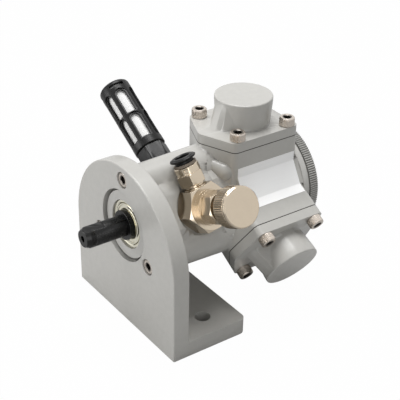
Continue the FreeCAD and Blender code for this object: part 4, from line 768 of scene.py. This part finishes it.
def push_in_fitting():
    """Hexagon over a waisted neck, round head with driver notches, ridged ring and flange."""
    head = turned("head", in_mm([(4.35, 18.0), (4.35, 25.25), (6.4, 25.25), (6.9, 24.9),
                                 (6.9, 21.2), (6.5, 20.9), (6.5, 18.0), (4.35, 18.0)]),
                  "nickel_brass")
    notches = [(Matrix.Rotation(math.tau * k / 3 + math.radians(-38), 4, "Z"),
                (5.6 * MM, -1.15 * MM, 21.9 * MM), (8.0 * MM, 1.15 * MM, 24.0 * MM))
               for k in range(3)]
    cut_by(head, [boxes("notches", "nickel_brass", notches)])
    hexagon = hexagon_prism("hexagon", 13.6 * MM, 14.3 * MM, 21.2 * MM, 0.55 * MM, "nickel_brass")
    hexagon.data.transform(Matrix.Rotation(math.radians(-32), 4, "Z"))
    neck = turned("neck", in_mm([(0.0, 9.0), (4.8, 9.0), (4.8, 12.3), (6.6, 12.3), (6.6, 12.9),
                                 (5.6, 13.2), (5.6, 13.7), (6.4, 14.0), (6.4, 14.4), (0.0, 14.4)]),
                  "nickel_brass")
    body = joined("fitting_hexagon_and_head", [head, hexagon, neck], fitting_frame())
    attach(body, "housing")
    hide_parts("fitting_body")

    band = turned("ring", in_mm([(5.3, 25.25), (6.1, 25.25), (6.1, 26.7), (5.9, 26.85),
                                 (5.3, 26.85), (5.3, 25.25)]), "fitting_ring")
    grooves = ridges("ring_ridges", 44, 6.0 * MM, 0.3 * MM, 1.3 * MM, "fitting_ring")
    grooves.data.transform(Matrix.Translation((0.0, 0.0, 26.05 * MM)))
    rim = joined("fitting_ridged_ring", [band, grooves], fitting_frame())
    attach(rim, "housing")
    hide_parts("fitting_rim")

    collar = turned("fitting_release_flange",
                    in_mm([(4.1, 23.4), (5.15, 23.4), (5.15, 28.0), (5.7, 28.35), (6.9, 28.6),
                           (7.3, 28.95), (7.3, 29.5), (7.05, 29.8), (6.3, 29.95), (5.9, 30.35),
                           (4.6, 30.35), (4.1, 29.9), (4.1, 23.4)]),
                    "fitting_plastic", fitting_frame())
    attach(collar, "fitting_release_collar")
    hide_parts("fitting_release_collar")


# Silencer

def silencer_frame():
    """Z outwards along the silencer's axis, from the shaft's."""
    return about_shaft(-60.0, 41.0 * MM)


def window_shapes(name, angles, low, high, width, inner, outer):
    """Cutters with a flat lower end and a round upper end that reach outwards from the axis."""
    half = width * 0.5
    mesh = bmesh.new()
    outline = [(-half, low), (half, low), (half, high - half)]
    outline += [(half * math.cos(a), high - half + half * math.sin(a))
                for a in (math.pi * i / 12 for i in range(1, 12))]
    outline.append((-half, high - half))
    for angle in angles:
        turn = Matrix.Rotation(math.radians(angle), 4, "Z")
        near = [mesh.verts.new(turn @ Vector((inner, y, z))) for y, z in outline]
        far = [mesh.verts.new(turn @ Vector((outer, y, z))) for y, z in outline]
        mesh.faces.new(list(reversed(near)))
        mesh.faces.new(far)
        bridged(mesh, near, far)
    return finished(name, mesh, "silencer_plastic")


def silencer():
    """Moulded cage with two rows of framed windows round the white element, over its hexagon."""
    low, end = 40.0 * MM, 86.6 * MM
    radius, bore, felt_radius = 9.45 * MM, 7.25 * MM, 6.95 * MM
    first_window, spacing = 44.0, 60.0
    shell = [(0.0, low), (radius - 0.4 * MM, low), (radius, low + 0.4 * MM),
             (radius, end - 1.6 * MM), (radius - 0.25 * MM, end - 0.8 * MM),
             (radius - 0.8 * MM, end - 0.25 * MM), (radius - 1.6 * MM, end),
             (radius - 2.6 * MM, end), (radius - 2.9 * MM, end - 0.5 * MM),
             (0.0, end - 0.5 * MM)]
    cage = turned("cage", shell, "silencer_plastic", segments=144)
    hollow = turned("hollow", [(0.0, low + 1.2 * MM), (bore, low + 1.2 * MM),
                               (bore, end - 2.2 * MM), (0.0, end - 2.2 * MM)],
                    "silencer_plastic")
    angles = [first_window + spacing * k for k in range(6)]
    rows = ((45.5 * MM, 61.6 * MM), (63.4 * MM, 79.4 * MM))
    frames = [window_shapes("frame", angles, first - 0.9 * MM, last + 0.9 * MM, 7.4 * MM,
                            radius - 1.0 * MM, radius + 2.0 * MM) for first, last in rows]
    windows = [window_shapes("window", angles, first, last, 5.75 * MM, 2.0 * MM,
                             radius + 2.0 * MM) for first, last in rows]
    slots = boxes("slots", "silencer_plastic", [
        (Matrix.Rotation(math.radians(first_window + spacing + 2 * spacing * k), 4, "Z"),
         (5.0 * MM, -4.6 * MM, end - 4.6 * MM), (12.0 * MM, 4.6 * MM, end - 2.5 * MM))
        for k in range(3)])
    cut_by(cage, [hollow, *frames, *windows, slots])
    hexagon = hexagon_prism("nut", 16.4 * MM, 25.5 * MM, low + 0.02 * MM, 0.7 * MM,
                            "silencer_plastic")
    hexagon.data.transform(Matrix.Rotation(math.radians(-43.5), 4, "Z"))
    body = joined("silencer_framed_cage", [cage, hexagon], silencer_frame())
    smoothed(body.data, 32.0)
    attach(body, "housing")
    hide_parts("silencer_cage")

    felt = turned("silencer_porous_tube", [(0.0, low + 1.3 * MM), (felt_radius, low + 1.3 * MM),
                                           (felt_radius, end - 2.4 * MM), (0.0, end - 2.4 * MM)],
                  "silencer_felt", silencer_frame())
    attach(felt, "housing")
    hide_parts("silencer_element")


# Casting with its teardrop ribs

NECK_FRONT, NECK_BACK = 40.0, 62.0     # the stretch of the neck that the old ribs stood on, in mm
LOBE_OUT = 21.5 * MM                   # a lobe's axis from the shaft's
LOBE_RADIUS, LOBE_START = 11.6, 10.0   # radius and where it is measured, in mm
LOBE_DRAFT = 1.4                       # degrees


def track(axis):
    """Turns Z onto the axis."""
    return axis.to_track_quat("Z", "Y").to_matrix().to_4x4()


def capsule(name, first, last, small, large):
    """Cone between two balls, from one point to another around which they stand."""
    axis = last - first
    length = axis.length
    tilt = math.asin((large - small) / length)
    outline = [(small * math.cos(a), small * math.sin(a))
               for a in (math.radians(-90) + (math.radians(90) - tilt) * i / 10 for i in range(11))]
    outline += [(large * math.cos(a), length + large * math.sin(a))
                for a in (-tilt + (math.radians(90) + tilt) * i / 14 for i in range(15))]
    outline[0], outline[-1] = (0.0, -small), (0.0, length + large)
    place = Matrix.Translation(first) @ track(axis)
    return turned(name, outline, "casting_paint", place, 64)


def meeting(first, second):
    """What two closed shapes share, as a plain mesh."""
    modifier = first.modifiers.new("Share", "BOOLEAN")
    modifier.operation = "INTERSECT"
    modifier.solver = "EXACT"
    modifier.object = second
    applied(first)
    bpy.data.objects.remove(second)
    return first


def neck_prism():
    """The neck between its lobes: three raised port pads with sloping sides."""
    mesh = bmesh.new()
    corners = []
    for angle in (60, 180, 300):
        turn = Matrix.Rotation(math.radians(angle), 4, "Y")
        corners += [turn @ Vector((across * MM, 0.0, out * MM))
                    for across, out in ((-16.2, 22.3), (-10.4, 25.5), (10.4, 25.5), (16.2, 22.3))]
    near, far = [[mesh.verts.new(corner + Vector((0.0, FRONT_FACE + y * MM, SHAFT_HEIGHT)))
                  for corner in corners] for y in (NECK_FRONT, NECK_BACK)]
    mesh.faces.new(near)
    mesh.faces.new(list(reversed(far)))
    bridged(mesh, near, far)
    return finished("neck", mesh, "casting_paint")


def lobe_cone():
    """A lobe of the neck about the shaft's axis, wider to the rear by its draft."""
    grow = math.tan(math.radians(LOBE_DRAFT))
    outline = [(0.0, NECK_FRONT * MM)]
    outline += [((LOBE_RADIUS + grow * (y - LOBE_START)) * MM, y * MM)
                for y in (NECK_FRONT, NECK_BACK)]
    outline.append((0.0, NECK_BACK * MM))
    return turned("lobe", outline, "casting_paint", along_shaft(0.0), 128)


def casting():
    """The casting with one ball-ended rib beside each lobe, run out on the front of its block."""
    old_rib = in_mm([(0.0, -0.1), (3.28, -0.1), (5.72, 14.15), (0.0, 14.15)])
    slope = math.radians(104)
    mesh = merged("crankcase")
    data = bpy.data.meshes.new("casting")
    mesh.to_mesh(data)
    mesh.free()
    whole = bpy.data.objects.new("casting", data)
    bpy.context.scene.collection.objects.link(whole)
    old_ribs, fills, ribs = [], [], []
    for angle in CYLINDERS.values():
        place = about_shaft(angle, 0.0)
        for side in (-1, 1):
            start = Vector((6.0 * side, 51.8, 27.6)) * MM
            lean = Vector((math.sin(slope) * side, 0.0, math.cos(slope)))
            stand = place @ Matrix.Translation(start) @ track(lean)
            old_ribs.append(turned("old_rib", old_rib, "casting_paint", stand, 64))
            fills.append(meeting(turned("fill", old_rib, "casting_paint", stand, 64),
                                 neck_prism()))
            lobe = lobe_cone()
            lobe.data.transform(place @ Matrix.Translation((0.0, 0.0, LOBE_OUT))
                                @ Matrix.Translation((0.0, -FRONT_FACE, -SHAFT_HEIGHT)))
            fills.append(meeting(turned("fill", old_rib, "casting_paint", stand, 64), lobe))
        ribs.append(capsule("rib", place @ (Vector((5.0, 51.5, 26.8)) * MM),
                            place @ (Vector((15.2, 56.9, 23.4)) * MM), 3.3 * MM, 5.3 * MM))
    cut_by(whole, old_ribs)
    whole.data.materials.clear()
    whole.data.materials.append(FINISHES["casting_paint"].material)
    body = joined("casting_with_ribs", [whole, *fills, *ribs])
    smoothed(body.data, 25.0)
    steadied(body)
    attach(body, "housing")
    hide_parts("crankcase")


# Cylinder heads

def smooth_heads():
    """Each head as one skin, so that the fairing between cap and flange flows without facets."""
    for side in CYLINDERS:
        node = "cylinder_head_" + side
        head = steadied(finished("smooth_head_" + side, merged(node), "cover_paint", smooth=30.0))
        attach(head, "housing")
        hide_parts(node)


# Shaft end

def shaft_end():
    """The crankshaft with the long lead of its tip and the fine turned line behind it."""
    shaft = finished("crankshaft_with_lead", merged("crankshaft"), "blackened_steel")
    lead = [(4.75, -25.2), (7.0, -25.2), (7.0, -22.4), (6.02, -22.4), (4.75, -25.2)]
    line = [(5.8, -19.7), (7.0, -19.9), (7.0, -19.3), (5.8, -19.5), (5.8, -19.7)]
    cut_by(shaft, [turned(name, in_mm(outline), "blackened_steel", along_shaft(0.0))
                   for name, outline in (("lead", lead), ("line", line))])
    smoothed(shaft.data, 25.0)
    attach(shaft, "crankshaft")
    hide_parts("crankshaft")


placed_screws("cylinder_head_screws", head_screw_places(),
              ["head_screws_top", "head_screws_right", "head_screws_left"])
placed_screws("front_plate_screws", bracket_screw_places(), ["bracket_screws"])
rear_cover()
throttle_knob()
ball_bearing_face()
push_in_fitting()
silencer()
casting()
smooth_heads()
shaft_end()


# Camera, light and floor

def camera():
    """The photograph's view, found from the object's own edges."""
    azimuth, elevation, roll = (math.radians(a) for a in (54.083, 30.079, 1.061))
    distance, target = 591.57 * MM, Vector((3.23, 19.82, 63.15)) * MM
    back = Vector((math.sin(azimuth) * math.cos(elevation),
                   -math.cos(azimuth) * math.cos(elevation), math.sin(elevation)))
    level = Vector((math.cos(azimuth), math.sin(azimuth), 0.0))
    upright = back.cross(level)
    right = level * math.cos(roll) + upright * math.sin(roll)
    up = upright * math.cos(roll) - level * math.sin(roll)
    data = bpy.data.cameras.new("camera")
    data.sensor_width = 36.0
    data.lens = 94.14
    data.clip_start, data.clip_end = 0.01, 20.0
    view = bpy.data.objects.new("camera", data)
    view.matrix_world = (Matrix.Translation(target + back * distance)
                         @ Matrix((right, up, back)).transposed().to_4x4())
    bpy.context.scene.collection.objects.link(view)
    bpy.context.scene.camera = view


def softbox(name, place, size, power, aim=(0.0, 0.02, 0.06)):
    """White rectangular lamp that faces the aimed-at point."""
    data = bpy.data.lights.new(name, "AREA")
    data.shape = "RECTANGLE"
    data.size, data.size_y = size
    data.energy = power
    lamp = bpy.data.objects.new(name, data)
    place = Vector(place)
    lamp.rotation_mode = "QUATERNION"
    lamp.rotation_quaternion = (Vector(aim) - place).to_track_quat("-Z", "Y")
    lamp.location = place
    bpy.context.scene.collection.objects.link(lamp)


def studio():
    """White surroundings for the camera and for reflections, soft light for everything else."""
    world = bpy.data.worlds.new("studio")
    bpy.context.scene.world = world
    world.use_nodes = True
    nodes, links = world.node_tree.nodes, world.node_tree.links
    nodes.clear()
    output = nodes.new("ShaderNodeOutputWorld")
    path = nodes.new("ShaderNodeLightPath")
    seen = nodes.new("ShaderNodeMath")
    seen.operation = "MAXIMUM"
    links.new(path.outputs["Is Camera Ray"], seen.inputs[0])
    also = nodes.new("ShaderNodeMath")
    also.operation = "MAXIMUM"
    links.new(path.outputs["Is Glossy Ray"], also.inputs[0])
    links.new(path.outputs["Is Transmission Ray"], also.inputs[1])
    links.new(also.outputs[0], seen.inputs[1])
    lit = nodes.new("ShaderNodeBackground")
    lit.inputs["Color"].default_value = (0.99, 1.0, 0.985, 1.0)
    lit.inputs["Strength"].default_value = 0.27
    white = nodes.new("ShaderNodeBackground")
    white.inputs["Color"].default_value = (1.0, 1.0, 1.0, 1.0)
    white.inputs["Strength"].default_value = 1.0
    mix = nodes.new("ShaderNodeMixShader")
    links.new(seen.outputs[0], mix.inputs[0])
    links.new(lit.outputs[0], mix.inputs[1])
    links.new(white.outputs[0], mix.inputs[2])
    links.new(mix.outputs[0], output.inputs["Surface"])


FLOOR_GLOW = 0.985             # share of plain white that the camera sees, the rest is shadow
FLOOR_GAP = 0.2 * MM           # below the foot


def floor():
    """Pale floor that stays white but keeps the object's shadow."""
    mesh = bmesh.new()
    bmesh.ops.create_circle(mesh, cap_ends=True, segments=64, radius=4.0)
    data = bpy.data.meshes.new("floor")
    mesh.to_mesh(data)
    mesh.free()
    material = bpy.data.materials.new("floor_white")
    material.use_nodes = True
    nodes, links = material.node_tree.nodes, material.node_tree.links
    nodes.clear()
    output = nodes.new("ShaderNodeOutputMaterial")
    matt = nodes.new("ShaderNodeBsdfDiffuse")
    matt.inputs["Color"].default_value = (0.5, 0.5, 0.5, 1.0)
    glow = nodes.new("ShaderNodeEmission")
    glow.inputs["Strength"].default_value = 1.0
    path = nodes.new("ShaderNodeLightPath")
    share = nodes.new("ShaderNodeMath")
    share.operation = "MULTIPLY"
    share.inputs[1].default_value = FLOOR_GLOW
    links.new(path.outputs["Is Camera Ray"], share.inputs[0])
    mix = nodes.new("ShaderNodeMixShader")
    links.new(share.outputs[0], mix.inputs[0])
    links.new(matt.outputs[0], mix.inputs[1])
    links.new(glow.outputs[0], mix.inputs[2])
    links.new(mix.outputs[0], output.inputs["Surface"])
    data.materials.append(material)
    ground = bpy.data.objects.new("floor", data)
    ground.location = (0.0, 0.0, CAD_BOX[0].z - FLOOR_GAP)
    bpy.context.scene.collection.objects.link(ground)


camera()
studio()
floor()
softbox("overhead", (-0.25, 0.1, 1.5), (0.8, 0.8), 23.0)
softbox("front_left", (-0.27, -0.62, 0.14), (0.45, 0.45), 2.75, (0.0, -0.03, 0.03))
softbox("front_right", (1.3, -0.6, 0.5), (0.5, 1.0), 3.6)
bpy.context.scene.view_settings.view_transform = "Standard"
